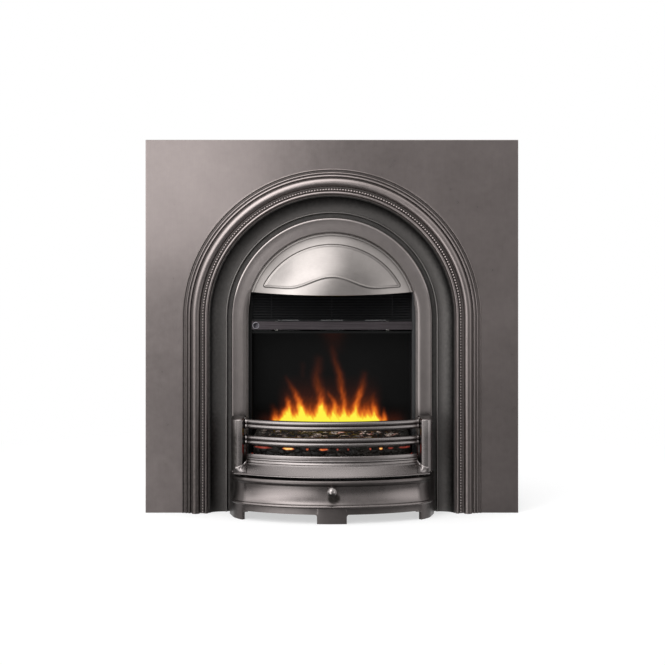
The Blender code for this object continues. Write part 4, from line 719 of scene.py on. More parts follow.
def make_pearls():
    """The pearl row: domes of 8 x 3 faces spaced evenly along the arch at one radius, each the
    upper half of an ellipsoid on the groove floor."""
    arc = math.pi * PEARL_RING
    total = 2 * SPRING + arc
    count = int(total / PEARL_PITCH)
    s = (np.arange(count) + 0.5) * total / count
    angle = math.pi - np.clip((s - SPRING) / PEARL_RING, 0, math.pi)
    up = np.where(s < SPRING, s, np.where(s > SPRING + arc, total - s, SPRING))
    out = np.stack([np.cos(angle), np.sin(angle)], -1)
    middle = np.stack([0 * up, up], -1) + PEARL_RING * out
    along = np.stack([-out[:, 1], out[:, 0]], -1)
    turn = np.linspace(0, 2 * math.pi, 8, endpoint=False)
    tilt = np.radians([0, 32, 62])
    ring = np.cos(tilt)[:, None] * np.stack([np.cos(turn), np.sin(turn)], 0)[:, None, :]
    ring = joined(ring.reshape(2, -1), np.zeros((2, 1)), axis=1) * 0.0035
    rise = joined(np.repeat(np.sin(tilt), 8), [1.0]) * 0.0030
    flat = middle[:, None] + ring[0][None, :, None] * along[:, None]
    flat = flat + ring[1][None, :, None] * out[:, None]
    points = place(flat[..., 0], 0.0062 + rise[None], flat[..., 1])
    quads = grid_quads(3, 8, False, True)
    fan = np.stack([16 + np.arange(8), 16 + (np.arange(8) + 1) % 8, np.full(8, 24)], -1)
    offset = (np.arange(count) * 25)[:, None, None]
    faces = [(quads[None] + offset).reshape(-1, 4), (fan[None] + offset).reshape(-1, 3)]
    floor = (np.arange(8)[::-1][None, None] + offset).reshape(-1, 8)
    # Painted shade at the root of each pearl, and a painted highlight on the pearls high on the
    # arch.
    light_by_height = np.interp(flat[..., 1], [0.45, 0.60], [0.0, -0.9])
    mask = 0.6 + (light_by_height - 0.6) * smoothstep(0.0, 0.0012, rise)[None]
    return shell(points, faces + [floor], mask)


def make_lug(x, z):
    """A cast lug with its hole: a ring of four corners carried round, from the hole's circle
    to a rounded outline."""
    low, high = z - 0.015, z + 0.015
    outline = rounded([(-0.003, low), (-0.040, low), (-0.040, high), (-0.003, high)], 0.004, 7)
    middle = np.array([-0.023, z])
    turn = np.arctan2(outline[:, 1] - z, outline[:, 0] - middle[0])
    hole = middle + 0.004 * np.stack([np.cos(turn), np.sin(turn)], -1)
    ring = np.stack([hole, outline, outline, hole], 1)
    sides = np.broadcast_to(np.array([-1, -1, 1, 1]) * 0.0025 + x, ring.shape[:2])
    return carried(place(sides, ring[..., 0], ring[..., 1]), ring=True)


def make_reveal():
    """The black cove: a quarter ellipse that falls inward from the moulding, a small bead, a
    step down to the ledge, and the flange behind the plate."""
    t = np.linspace(0, math.pi / 2, 22)
    bead = np.linspace(0, math.pi, 9)
    across = joined(
        [0.0],
        0.0394 - 0.0374 * np.cos(t),
        0.0424 - 0.0028 * np.cos(bead),
        [0.0454, 0.0456, 0.0630, 0.0630, 0.0340, 0.0180, 0.0090, 0.0040],
        [-0.0280, -0.0280, -0.0004],
    )
    proud = joined(
        [0.002],
        0.002 - 0.020 * np.sin(t),
        -0.0180 + 0.0028 * np.sin(bead),
        [-0.0186, *[-LEDGE_DEEP] * 2, *[-FLANGE_DEEP] * 2, -0.0220, -0.0150, -0.0103],
        [-0.0103, -0.0063, -0.0063],
    )
    # A painted highlight on the small bead, painted shade on the cove that deepens towards the
    # moulding, and painted shade on the ledge and flange.
    painted_highlight = (across > 0.0395) & (across < 0.0453)
    groove = np.where(painted_highlight & (proud > -0.019), -0.2, 0.80 - 0.45 * smoothstep(0.0, 0.030, across))
    groove = np.where((across > 0.0453) | (proud < -0.0185), 0.55, groove)
    shells = [arch_shell(REVEAL_OUTER - across, proud, groove)]
    make_piece("cove_reveal", shells, COVE_IRON, "insert", ["arch_reveal"])


def make_frame():
    """The inner frame: a rounded outer edge, a flat band, and two small steps inside, which
    stand 4 mm further in on the legs and fade into the band where the hood covers them."""
    t = np.linspace(0, math.pi / 2, 9)
    across = joined(
        [0.0004, 0.0],
        0.0040 - 0.0040 * np.cos(t),
        [0.0060, 0.012, 0.020, 0.028, 0.0322, 0.0328, 0.0333, 0.0336, 0.0350, 0.0356],
        [0.0360, 0.0364, 0.0384, 0.0390, 0.0390, 0.0386],
    )
    step = FRAME_DEEP + 0.00175
    deep = joined(
        [FRAME_BACK, FRAME_BACK - 0.0006],
        FRAME_DEEP + 0.0035 - 0.0040 * np.sin(t),
        [FRAME_DEEP - 0.0003, *[FRAME_DEEP + 0.0003] * 4],
        [FRAME_DEEP + 0.0006, step - 0.0003, step, step, step + 0.0004],
        [HOOD_RIM_DEEP - 0.0003, HOOD_RIM_DEEP, HOOD_RIM_DEEP, HOOD_RIM_DEEP + 0.0005],
        [FRAME_BACK - 0.0006, FRAME_BACK],
    )
    # Painted shade on the small steps inside the band.
    groove = joined(np.zeros(16), [0.2, 0.6, 0.7, 0.2, 0.2, 0.7, 0.7, 0.4, 0.2, 0.5, 0.0])
    centre, out, run = arch_stations()
    leg = smoothstep(0.575, 0.540, (centre + 0.22 * out)[:, 1])[:, None]
    inward = across[None] + 0.0040 * leg * (across > 0.0300)[None]
    step = (across > 0.0321) & (deep < HOOD_RIM_DEEP - 0.0001)
    band = FRAME_DEEP + 0.0004
    deep = np.where(step[None], band + leg * (deep - FRAME_DEEP - 0.0004)[None], deep[None])
    # The outer edge gets a painted highlight on the arch and painted shade on the legs; the steps'
    # painted shade stays on the legs only.
    edge_light = -0.75 * (across < 0.0045) * (1 - leg) + 0.3 * (across < 0.0045) * leg
    groove = leg * groove[None] + edge_light
    flat = centre[:, None] + (FRAME_OUTER - 0.0016 - inward)[..., None] * out[:, None]
    points = place(flat[..., 0], -deep, flat[..., 1])
    flow = flow_along(run, across)
    shells = [carried(points, np.broadcast_to(groove, points.shape[:2]), flow)]
    make_piece("arched_frame", shells, FRAME_IRON, "insert", ["inner_frame"])


# Hood

HOOD_RADIUS = 0.2228
HOOD_END = 0.571
HOOD_HALF = math.sqrt(HOOD_RADIUS**2 - (HOOD_END - SPRING) ** 2)


def hood_share(x, z):
    """How far a point of the hood's front view lies from the middle of its lower edge (0) to
    the arch (1), found by halving: the share whose scaled arch passes through the point."""
    low, high = np.full(np.shape(x), 1e-6), np.full(np.shape(x), 1.0)
    for _ in range(46):
        s = (low + high) / 2
        rise = (z - HOOD_END + 0.007 * (1 - s * s)) / s + HOOD_END - SPRING
        outside = (x / s) ** 2 + rise**2 > HOOD_RADIUS**2
        low, high = np.where(outside, s, low), np.where(outside, high, s)
    return (low + high) / 2


def hood_proud(x, z):
    """How far the hood's face stands ahead of the plate: a swell that is full in the middle
    and falls to the rim, with a fine scored line beside the rim."""
    swell = np.clip(1 - hood_share(x, z) ** 2, 0, 1)
    rim = HOOD_RADIUS - np.hypot(x, z - SPRING)
    line = bell(rim, 0.0075, 0.0011)
    return -HOOD_RIM_DEEP + 0.070 * swell**0.9 - 0.0004 * line, line


def make_hood():
    """The bowed hood: points between its lower edge and the arch in the front view, pushed
    forward by the swell, and an inner face drawn 2% smaller, joined by the skirt."""
    u = np.linspace(-1, 1, 181)
    x = HOOD_HALF * np.sin(u * math.pi / 2)
    x[0], x[-1] = -HOOD_HALF, HOOD_HALF
    t = np.linspace(0, 1, 64)
    v = 1 - (1 - t) ** 2.2
    bottom = HOOD_END - 0.007 * (1 - (x / HOOD_HALF) ** 2)
    top = SPRING + np.sqrt(np.maximum(HOOD_RADIUS**2 - x**2, 0))
    z = bottom[:, None] + (top - bottom)[:, None] * v[None]
    wide = np.broadcast_to(x[:, None], z.shape)
    proud, line = hood_proud(wide, z)
    proud[:, -1] = -HOOD_RIM_DEEP
    inner_x, inner_z = wide * 0.98, HOOD_END + (z - HOOD_END) * 0.98
    inner_proud = proud - 0.0045
    skirt_x = np.stack([x, x * 0.982], -1)
    skirt_z = np.stack([top, SPRING + (top - SPRING) * 0.982], -1)
    skirt_proud = np.full(skirt_x.shape, -FLANGE_DEEP)
    lip_x = np.stack([wide[:, 0] * 0.987, wide[:, 0] * 0.994], -1)
    lip_z = np.stack([bottom - 0.0008, bottom - 0.0010], -1)
    lip_proud = np.stack([proud[:, 0] - 0.0034, proud[:, 0] - 0.0014], -1)
    all_x = joined(wide, skirt_x, inner_x[:, ::-1], lip_x, axis=1)
    all_z = joined(z, skirt_z, inner_z[:, ::-1], lip_z, axis=1)
    all_proud = joined(proud, skirt_proud, inner_proud[:, ::-1], lip_proud, axis=1)
    # Painted shade along the scored line and over the inner face, and a painted highlight on the
    # rim.
    edge = bell(np.hypot(wide, z - SPRING), HOOD_RADIUS, 0.0040)
    cleared = np.zeros((len(x), 2))
    mask = joined(0.15 * line - 0.5 * edge, cleared, np.full(z.shape, 0.9), cleared, axis=1)
    shells = [carried(place(all_x, all_proud, all_z), mask)]
    shells.append(make_crescent())
    for degrees in (60, 120):
        angle = math.radians(degrees)
        low = (HOOD_RADIUS - 0.002, -LEDGE_DEEP - 0.0030, -0.010)
        high = (HOOD_RADIUS + 0.022, -LEDGE_DEEP, 0.010)
        shells.append(block(low, high, 0.0012, (0.0, SPRING), angle))
    make_piece("bowed_hood", shells, HOOD_IRON, "insert", ["hood"])


def make_crescent():
    """The embossed outline: an upper arc between two tips and a lower line that rises in its
    middle, drawn as a bell-shaped ridge 11 mm wide and 1.8 mm high that lies on the swell."""
    tip_x, tip_z, crown = 0.1755, 0.5860, 0.6915
    sagitta = crown - tip_z
    radius = (tip_x**2 + sagitta**2) / (2 * sagitta)
    half = math.asin(tip_x / radius)
    a = np.linspace(-half, half, 170)
    upper = np.stack([radius * np.sin(a), crown - radius + radius * np.cos(a)], -1)
    x = np.linspace(tip_x, -tip_x, 150)[1:-1]
    arc = 0.5 + 0.5 * np.cos(math.pi * np.clip(np.abs(x) / 0.112, 0, 1))
    dish = 0.0028 * (1 - smoothstep(0.11, tip_x, np.abs(x)))
    lower = np.stack([x, tip_z - dish + 0.0285 * arc], -1)
    path = joined(upper, lower)
    for _ in range(3):
        path = (np.roll(path, 1, 0) + 2 * path + np.roll(path, -1, 0)) / 4
    tangent = np.roll(path, -1, 0) - np.roll(path, 1, 0)
    tangent /= np.linalg.norm(tangent, axis=1)[:, None]
    side = np.stack([-tangent[:, 1], tangent[:, 0]], -1)
    half_width, tall = 0.0056, 0.0018
    across = np.linspace(-1, 1, 13) * half_width
    height = tall * bell(across, 0, 0.0025) - 0.0001
    flat = path[:, None] + side[:, None] * across[None, :, None]
    x, z = flat[..., 0], flat[..., 1]
    proud, _ = hood_proud(x, z)
    step = 0.0005
    slope_x = (hood_proud(x + step, z)[0] - proud) / step
    slope_z = (hood_proud(x, z + step)[0] - proud) / step
    steep = np.sqrt(1 + slope_x**2 + slope_z**2)
    top = place(x - slope_x / steep * height, proud + height / steep, z - slope_z / steep * height)
    root = place(x + slope_x / steep * 0.002, proud - 0.002 / steep, z + slope_z / steep * 0.002)
    points = joined(top, root[:, [12, 0]], axis=1)
    # Painted shade along both sides of the ridge's foot.
    mask = 0.25 * bell(np.abs(across), 0.0040, 0.0010)
    mask = np.broadcast_to(joined(mask, [0, 0]), points.shape[:2])
    return carried(points, mask, ring=True)


# Fret

def bar_section(height):
    """Two half rolls that meet in a groove, with a flat back."""
    t = np.radians(np.linspace(-78, 78, 17))
    rolls = [
        (ROLL_RADIUS * np.cos(t), height + shift + ROLL_RADIUS * np.sin(t))
        for shift in (-ROLL_SHIFT, ROLL_SHIFT)
    ]
    offset = joined(rolls[0][0], rolls[1][0], [-0.0055, -0.006, -0.006, -0.0055])
    top, bottom = height + 0.0117, height - 0.0117
    z = joined(rolls[0][1], rolls[1][1], [top, top - 0.0006, bottom + 0.0006, bottom])
    # Painted shade on the rolls where they turn into the groove and to the back, and on the flat
    # back.
    dark = smoothstep(0.80, 0.98, np.abs(np.sin(t)))
    groove = joined(dark, dark, [0.3, 0.6, 0.6, 0.3])
    return offset, z, groove


def make_bars():
    """The two bars, drawn along the bow between the posts, each roll with a small collar near
    its rounded end."""
    x = np.linspace(-BAR_HALF, BAR_HALF, 104)
    tail = BAR_HALF - BAR_ROUND * (1 - np.cos(np.linspace(0.15, math.pi / 2, 6)))
    tail = joined(tail, BAR_HALF - np.linspace(0.0020, 0.0090, 12))
    x = np.unique(joined(x, tail, -tail))
    past = np.clip(np.abs(x) - BAR_HALF + BAR_ROUND, 0, 1) / BAR_ROUND
    shrink = np.sqrt(np.clip(1 - past**2, 0.02, 1))
    collar = bell(np.abs(x), BAR_HALF - 0.0044, 0.0024)
    bars = (("bar_upper", "fret_bar_upper", 0.2378), ("bar_lower", "fret_bar_lower", 0.1972))
    for name, node, height in bars:
        offset, z, groove = bar_section(height)
        middle = height + ROLL_SHIFT * np.sign(z - height)
        swell = (shrink + 0.16 * collar)[:, None]
        z = middle[None] + (z - middle)[None] * swell
        ahead = offset[None] * shrink[:, None] + 0.0011 * collar[:, None] * (offset > 0)[None]
        points = place(x[:, None], bow_depth(x[:, None], ahead), z)
        flow = flow_along(x, np.stack([offset, z[50]], -1))
        # A painted highlight on each collar.
        mask = groove[None] * (1 - collar[:, None]) - 0.5 * collar[:, None]
        shells = [carried(points, mask, flow)]
        make_piece(name, shells, FRET_IRON, "fret", [node])


# Corners of the shelf's section: ahead of the bow line, height, rounding
SHELF_TOP = (
    (-0.0080, 0.1630, 0.0008),
    (0.0004, 0.1630, 0.0016),
    (0.0020, 0.1600, 0.0012),
    (0.0020, 0.1535, 0.0010),
    (0.0054, 0.1515, 0.0012),
    (0.0056, 0.1485, 0.0010),
    (0.0040, 0.1468, 0.0010),
    (0.0062, 0.1415, 0.0014),
    (0.0094, 0.1400, 0.0010),
    (0.0100, 0.1380, 0.0010),
    (0.0112, 0.1366, 0.0010),
    (0.0348, 0.1172, 0.0016),
    (0.0370, 0.1158, 0.0014),
    (0.0372, 0.1146, 0.0010),
    (0.0358, 0.1132, 0.0010),
)
SHELF_UNDER = (
    (0.0310, 0.1128, 0.0010),
    (0.0290, 0.1170, 0.0020),
    (0.0080, 0.1310, 0.0020),
    (0.0010, 0.1370, 0.0020),
    (-0.0030, 0.1450, 0.0020),
    (-0.0080, 0.1500, 0.0010),
)


def scoop_height(x):
    """Height of the scooped edge between post and shelf: a quarter ellipse that runs level at
    the post's outer side and climbs to its inner side."""
    reach = np.clip((0.2490 - np.abs(x)) / 0.0330, 0, 0.985)
    return 0.1302 + 0.022 * (1 - np.sqrt(1 - reach**2))


def make_scoop(side):
    """The flare under a post: from a beaded edge along the scoop down to the shelf's lip, in
    two straight runs that meet the shelf's slope at the inner side."""
    x = np.linspace(0.2160, 0.2494, 26)
    nose = np.interp(
        x,
        [0.2160, 0.2230, 0.2262, 0.2300, 0.2360, 0.2440, 0.2490, 0.2520],
        [0.0735, 0.0755, 0.0800, 0.0828, 0.0840, 0.0815, 0.0715, 0.0640],
    )
    lip = bow_depth(x, 0.0345)
    top = scoop_height(x)
    bead = [(-0.0060, -0.0030), (-0.0020, 0.0008), (-0.0006, 0.0020), (0.0010, 0.0022)]
    bead = np.array(bead + [(0.0025, 0.0014), (0.0033, -0.0002), (0.0034, -0.0016)])
    start = np.stack([nose + 0.0035, top - 0.0026], -1)
    end = np.stack([lip - 0.0006, 0 * x + 0.1206], -1)
    inner = np.stack([bow_depth(x, 0.0114) + 0.0006, 0 * x + 0.1368], -1)
    middle = start + 0.4 * (end - start)
    middle = middle + smoothstep(0.2290, 0.2172, x)[:, None] * (inner - middle)
    share = np.array([0, 0.33, 0.66])[None, :, None]
    upper = start[:, None] + (middle - start)[:, None] * share
    lower = middle[:, None] + (end - middle)[:, None] * share
    slope = joined(upper, lower, end[:, None], axis=1)
    slope_proud, slope_z = slope[..., 0], slope[..., 1]
    shut = np.stack([lip - 0.001, nose - 0.006], -1)
    proud = joined(nose[:, None] + bead[:, 0], slope_proud, shut, axis=1)
    z = joined(top[:, None] + bead[:, 1], slope_z, np.full((len(x), 2), 0.1180), axis=1)
    # Painted shade on the outer part of the slope, and a painted highlight on the bead.
    mask = 0.85 * smoothstep(0.236, 0.247, x)[:, None] * (z < top[:, None] - 0.0010)
    mask[:, :7] = -0.15
    return carried(place(side * x[:, None], proud, z), mask)


def make_fret_base():
    """The stepped shelf, drawn along the bow; beyond the bars only its slope and lip go on,
    with a scoop under each post, pads and the cheeks that carry it."""
    corners = np.array(SHELF_TOP + SHELF_UNDER)
    section = rounded(corners[:, :2], corners[:, 2], 3)
    offset, height = section[:, 0], section[:, 1]
    ends = np.array([0.2158, 0.2168])
    x = np.unique(joined(np.linspace(-SHELF_HALF, SHELF_HALF, 116), ends, -ends))
    under = np.arange(len(section)) >= 4 * len(SHELF_TOP)
    limit = np.where(np.abs(x) > 0.2163, 0.1340, 0.2)[:, None] - 0.004 * under[None]
    z = np.minimum(height[None], limit)
    points = place(x[:, None], bow_depth(x[:, None], offset[None]), z)
    # Painted shade on the shelf's underside and along the steps of its top.
    groove = 0.85 * under
    for middle, half in ((0.1540, 0.0016), (0.1475, 0.0012), (0.1382, 0.0010)):
        groove = groove + 0.5 * bell(height, middle, half) * (~under)
    flow = flow_along(x, section)
    shells = [carried(points, np.broadcast_to(groove, z.shape), flow)]
    for side in (-1, 1):
        shells.append(make_scoop(side))
        a, b = sorted((side * 0.222, side * 0.2485))
        shells.append(block((a, 0.030, 0.1100), (b, 0.070, 0.1178), 0.0015))
        a, b = sorted((side * 0.233, side * 0.245))
        shells.append(block((a, -0.0097, 0.0), (b, 0.050, 0.1158), 0.0015))
    make_piece("fret_shelf", shells, FRET_IRON, "fret", ["fret_base"])


# Plan of a post from its rear outer corner round the front to the web that takes the bars:
# distance from the middle, proud, rounding
POST_PLAN = (
    (0.2566, 0.0380, 0.002),
    (0.2566, 0.0580, 0.005),
    (0.2535, 0.0730, 0.005),
    (0.2468, 0.0826, 0.005),
    (0.2360, 0.0836, 0.0040),
    (0.2274, 0.0826, 0.0016),
    (0.2252, 0.0740, 0.0030),
    (0.2242, 0.0560, 0.002),
    (0.2192, 0.0535, 0.0015),
    (0.2192, 0.0380, 0.002),
)


def make_post(side, name, node):
    """A post: its plan carried up from inside the scoop to a cap that falls to the front, drawn in
    over the last 3 mm, with painted shade on its outer side, most of it at the left."""
    corners = np.array(POST_PLAN)
    plan = rounded(corners[:, :2], corners[:, 2], 5)
    middle = np.array([0.2385, 0.060])
    top = 0.2560 - 0.005 * (plan[:, 1] - 0.036) / 0.048
    inset = np.array([0, 0, 0, 0, 0, 0.0003, 0.0011, 0.0024])
    share = np.array([0, 0.01, 0.33, 0.66, 1, 1, 1, 1])
    drop = np.array([0, 0, 0, 0, 0.0026, 0.0012, 0.0003, 0.0])
    z = 0.1200 + (top - 0.1200)[None] * share[:, None] - drop[:, None]
    spread = 1 - inset[:, None, None] / np.array([0.014, 0.024])
    flat = middle + (plan - middle)[None] * spread
    points = place(side * flat[..., 0], flat[..., 1], z)
    flow = np.stack(np.broadcast_arrays(z, np.arange(len(plan))[None] * 0.002, 0.0), -1)
    # Painted shade in the recess beside the bars' ends and on the outer side, more on the left
    # post, and a painted highlight on the cap's bevel.
    recess = smoothstep(0.2256, 0.2243, plan[:, 0]) * 0.9
    turned = smoothstep(0.2365, 0.2430, plan[:, 0]) * (0.92 if side < 0 else 0.2)
    turned = np.maximum(turned, 0.4 * smoothstep(0.2310, 0.2285, plan[:, 0]))
    mask = np.broadcast_to(np.maximum(recess, turned), z.shape) - 0.4 * (drop > 0.0001)[:, None]
    shells = [carried(points, mask, flow)]
    make_piece(name, shells, FRET_IRON, "fret", [node])


# Ash cover

COVER_AHEAD = 0.033
MIDDLE_FOOT = 0.037
SIDE_FOOT = 0.2255
FOOT_GAP = 0.023
FOOT_ROUND = 0.006
KNOB_HEIGHT = 0.084
# The cover's face from its foot to its rim: ahead of the plan, height
COVER_FACE = (
    (0.0010, 0.0000), (0.0012, 0.0120), (0.0014, 0.0230), (0.0018, 0.0330), (0.0022, 0.0378),
    (0.0040, 0.0388), (0.0052, 0.0406), (0.0054, 0.0424), (0.0046, 0.0442), (0.0030, 0.0456),
    (0.0014, 0.0466), (0.0010, 0.0478), (0.0000, 0.0504), (-0.0014, 0.0545), (-0.0026, 0.0600),
    (-0.0035, 0.0670), (-0.0038, 0.0740), (-0.0036, 0.0800), (-0.0030, 0.0850), (-0.0022, 0.0895),
    (-0.0018, 0.0920), (-0.0016, 0.0930), (0.0010, 0.0936), (0.0030, 0.0950), (0.0044, 0.0972),
    (0.0050, 0.1000), (0.0050, 0.1030), (0.0043, 0.1054), (0.0028, 0.1070), (0.0006, 0.1078),
    (-0.0030, 0.1080),
)
# Plan of the canted return at either end of the ash cover: distance from the middle, proud
COVER_RETURN = (
    (0.2180, 0.0965), (0.2262, 0.0905), (0.2385, 0.0765), (0.2490, 0.0585), (0.2556, 0.0360),
    (0.2620, 0.0150), (0.2638, 0.0067),
)


def catmull_rom(a, b, c, d, t):
    """A smooth curve from b to c that also knows its neighbours a and d."""
    cubic = (3 * b - a - 3 * c + d) * t**3
    return 0.5 * (2 * b + (c - a) * t + (2 * a - 5 * b + 4 * c - d) * t**2 + cubic)


def cover_plan():
    """Plan points and outward directions of the ash cover: forward along the left return,
    across the bow, and back along the right return; the returns are Catmull-Rom curves."""
    knots = np.array(COVER_RETURN)
    ghost = joined([2 * knots[0] - knots[1]], knots, [2 * knots[-1] - knots[-2]])
    t = np.linspace(0, 1, 6)[:-1, None]
    spans = [catmull_rom(*four, t) for four in zip(ghost, ghost[1:], ghost[2:], ghost[3:])]
    side = joined(*spans, knots[-1:])
    edges = [edge + d for edge in (MIDDLE_FOOT, SIDE_FOOT) for d in (-0.00005, 0.00005)]
    arc = FOOT_ROUND * (1 - np.cos(np.linspace(0.3, 1.57, 5)))
    marks = joined(edges, MIDDLE_FOOT + arc, SIDE_FOOT - arc)
    bow_x = np.unique(joined(np.linspace(-0.2165, 0.2165, 117), marks, -marks))
    bow_x = bow_x[np.abs(bow_x) < 0.2172]
    bow = np.stack([bow_x, bow_depth(bow_x, COVER_AHEAD)], -1)
    extra_x = marks[marks > 0.2180]
    extra = np.stack([extra_x, np.interp(extra_x, side[:, 0], side[:, 1])], -1)
    side = joined(side, extra)
    side = side[np.argsort(side[:, 0])]
    mirror = np.array([-1.0, 1.0])
    plan = joined(side[::-1] * mirror, bow, side)
    step = np.gradient(plan, axis=0)
    out = np.stack([-step[:, 1], step[:, 0]], -1)
    for _ in range(2):
        out[1:-1] = out[:-2] + 2 * out[1:-1] + out[2:]
        out /= np.linalg.norm(out, axis=1)[:, None]
    return plan, out


def make_cover():
    """The ash cover: its face carried round the plan, its foot lifted between the feet with rounded
    upper corners, its mouldings dying out to the rear of the returns, and a painted shadow below
    the knob and painted shade on the ends; then the ball knob on its boss."""
    plan, out = cover_plan()
    face = np.array(COVER_FACE)
    offset = joined(face[:, 0], [-0.0086, -0.0090, -0.0090, -0.0090, -0.0086])
    height = joined(face[:, 1], [0.1080, 0.1074, 0.0360, 0.0006, 0.0000])
    across = np.abs(plan[:, 0])
    inside = (across > MIDDLE_FOOT) & (across < SIDE_FOOT) & (plan[:, 1] > 0.02)
    near = np.minimum(across - MIDDLE_FOOT, SIDE_FOOT - across)
    curve = 1 - np.sqrt(1 - (1 - np.clip(near / FOOT_ROUND, 0, 1)) ** 2)
    foot = np.where(inside, FOOT_GAP - FOOT_ROUND * curve, 0.0)
    low = height[None] < 0.0359
    z = np.where(low, foot[:, None] + height[None] * (0.036 - foot[:, None]) / 0.036, height[None])
    fade = smoothstep(0.004, 0.040, plan[:, 1])
    wall = -0.0090 + 0.0030 * smoothstep(0.2200, 0.2320, across)
    lining = offset[None] < -0.008
    depth = np.where(lining, wall[:, None], offset[None] * fade[:, None])
    flat = plan[:, None] + out[:, None] * depth[..., None]
    points = place(flat[..., 0], flat[..., 1], z)
    # Painted shade along the ridges, on the top roll, on the skirt and over the inner lining.
    line = bell(height, 0.0928, 0.0010) + 0.4 * bell(height, 0.0380, 0.0008)
    line = line + 0.7 * bell(height, 0.0468, 0.0009) + 0.40 * (height > 0.0940)
    line = line + 0.35 * (height < 0.0350)
    line = np.clip(np.where(offset > -0.008, line, 0.9), 0, 1)
    # A painted shadow of the knob on the face below it.
    knob_shadow = ((plan[:, :1] - 0.005) / 0.016) ** 2 + ((height[None] - 0.063) / 0.0135) ** 2
    line = np.maximum(line[None], smoothstep(1.25, 0.7, knob_shadow))
    # Painted shade on the returns, which turn away from the front.
    end = 0.40 * smoothstep(0.2160, 0.2300, across) + 0.30 * smoothstep(0.2300, 0.2450, across)
    line = np.maximum(line, np.broadcast_to(end[:, None], line.shape))
    line = np.clip(line + end[:, None] * (height > 0.0940)[None], 0, 1)
    run = path_run(plan)[:, None]
    flow = np.stack(np.broadcast_arrays(run, height[None], offset[None]), -1)
    shells = [carried(points, np.broadcast_to(line, z.shape), flow)]
    boss = [(0.0002, -0.006), (0.0105, -0.006), (0.0105, 0.0022), (0.0100, 0.0031)]
    boss += [(0.0090, 0.0035), (0.0002, 0.0035)]
    front = FACE_Y - float(bow_depth(0.0, COVER_AHEAD))
    shells.append(revolved(boss, (0, front, KNOB_HEIGHT), 40))
    make_piece("bowed_ash_cover", shells, COVER_IRON, "ash_cover", ["ash_cover"])

    t = np.linspace(math.asin(0.005 / BALL_RADIUS), math.pi - 0.01, 26)
    middle = 0.003 + 0.005 + BALL_RADIUS
    profile = [(0.0002, 0.0), (0.0078, 0.0), (0.0080, 0.0004), (0.0080, 0.0024)]
    profile += [(0.0074, 0.0030), (0.0056, 0.0032)]
    profile += [(0.0050, 0.0040), (0.0048, 0.0060), (0.0050, 0.0082)]
    ball = np.stack([BALL_RADIUS * np.sin(t), middle - BALL_RADIUS * np.cos(t)], -1)
    profile = joined(profile, ball)
    seat = front - 0.0035 - 0.0003
    knob = revolved(profile, (0, seat, KNOB_HEIGHT), 56)
    # Painted shade on the lower half of the ball.
    knob["groove"] = smoothstep(-0.0015, -0.0075, knob["co"][:, 2] - KNOB_HEIGHT)
    make_piece("ball_knob", [knob], KNOB_METAL, "ash_cover", ["ash_knob"])


# Flames and coals

SCREEN_DEEP = 0.096
# Tongues of flame: points (x, z, half width, heat) from the foot to the tip
TONGUES = (
    (
        (-0.120, 0.231, 0.019, 1.05), (-0.119, 0.244, 0.015, 1.00), (-0.114, 0.260, 0.010, 0.76),
        (-0.114, 0.276, 0.008, 0.50), (-0.119, 0.294, 0.008, 0.12),
    ),
    (
        (-0.079, 0.240, 0.018, 1.00), (-0.083, 0.260, 0.012, 0.92), (-0.086, 0.276, 0.010, 0.64),
        (-0.095, 0.294, 0.009, 0.40), (-0.111, 0.321, 0.007, 0.16), (-0.122, 0.342, 0.005, 0.04),
    ),
    (
        (-0.029, 0.228, 0.024, 1.10), (-0.028, 0.260, 0.014, 1.00), (-0.029, 0.276, 0.011, 0.62),
        (-0.029, 0.294, 0.013, 0.37), (-0.037, 0.321, 0.013, 0.25), (-0.042, 0.348, 0.010, 0.16),
        (-0.034, 0.387, 0.010, 0.06),
    ),
    (
        (0.006, 0.228, 0.012, 0.85), (0.008, 0.260, 0.010, 0.70), (0.005, 0.276, 0.008, 0.45),
        (-0.008, 0.295, 0.007, 0.28), (-0.014, 0.308, 0.006, 0.10),
    ),
    (
        (0.032, 0.232, 0.012, 1.00), (0.031, 0.260, 0.009, 0.62), (0.032, 0.276, 0.009, 0.50),
        (0.031, 0.294, 0.009, 0.42), (0.024, 0.321, 0.0095, 0.31), (0.020, 0.348, 0.0085, 0.25),
        (0.009, 0.387, 0.0075, 0.13), (0.000, 0.420, 0.008, 0.06),
    ),
    (
        (0.058, 0.229, 0.014, 1.05), (0.061, 0.260, 0.009, 0.74), (0.067, 0.276, 0.010, 0.58),
        (0.074, 0.294, 0.0095, 0.54), (0.080, 0.321, 0.010, 0.23), (0.087, 0.348, 0.008, 0.08),
    ),
    ((0.094, 0.226, 0.016, 0.74), (0.093, 0.250, 0.012, 0.52), (0.094, 0.268, 0.010, 0.20)),
    (
        (0.112, 0.228, 0.013, 0.92), (0.112, 0.260, 0.011, 0.58), (0.110, 0.276, 0.011, 0.28),
        (0.109, 0.296, 0.009, 0.12),
    ),
    ((0.138, 0.226, 0.009, 0.74), (0.139, 0.246, 0.005, 0.45), (0.138, 0.258, 0.004, 0.12)),
    ((-0.150, 0.226, 0.011, 0.84), (-0.151, 0.246, 0.009, 0.38), (-0.157, 0.262, 0.007, 0.08)),
    ((-0.130, 0.224, 0.015, 0.95), (0.118, 0.224, 0.015, 0.90)),
    ((-0.076, 0.345, 0.006, 0.025), (-0.078, 0.375, 0.006, 0.025)),
    ((0.005, 0.427, 0.018, 0.030), (0.005, 0.458, 0.026, 0.050)),
    ((-0.172, 0.222, 0.016, 0.10), (0.168, 0.222, 0.018, 0.14)),
)


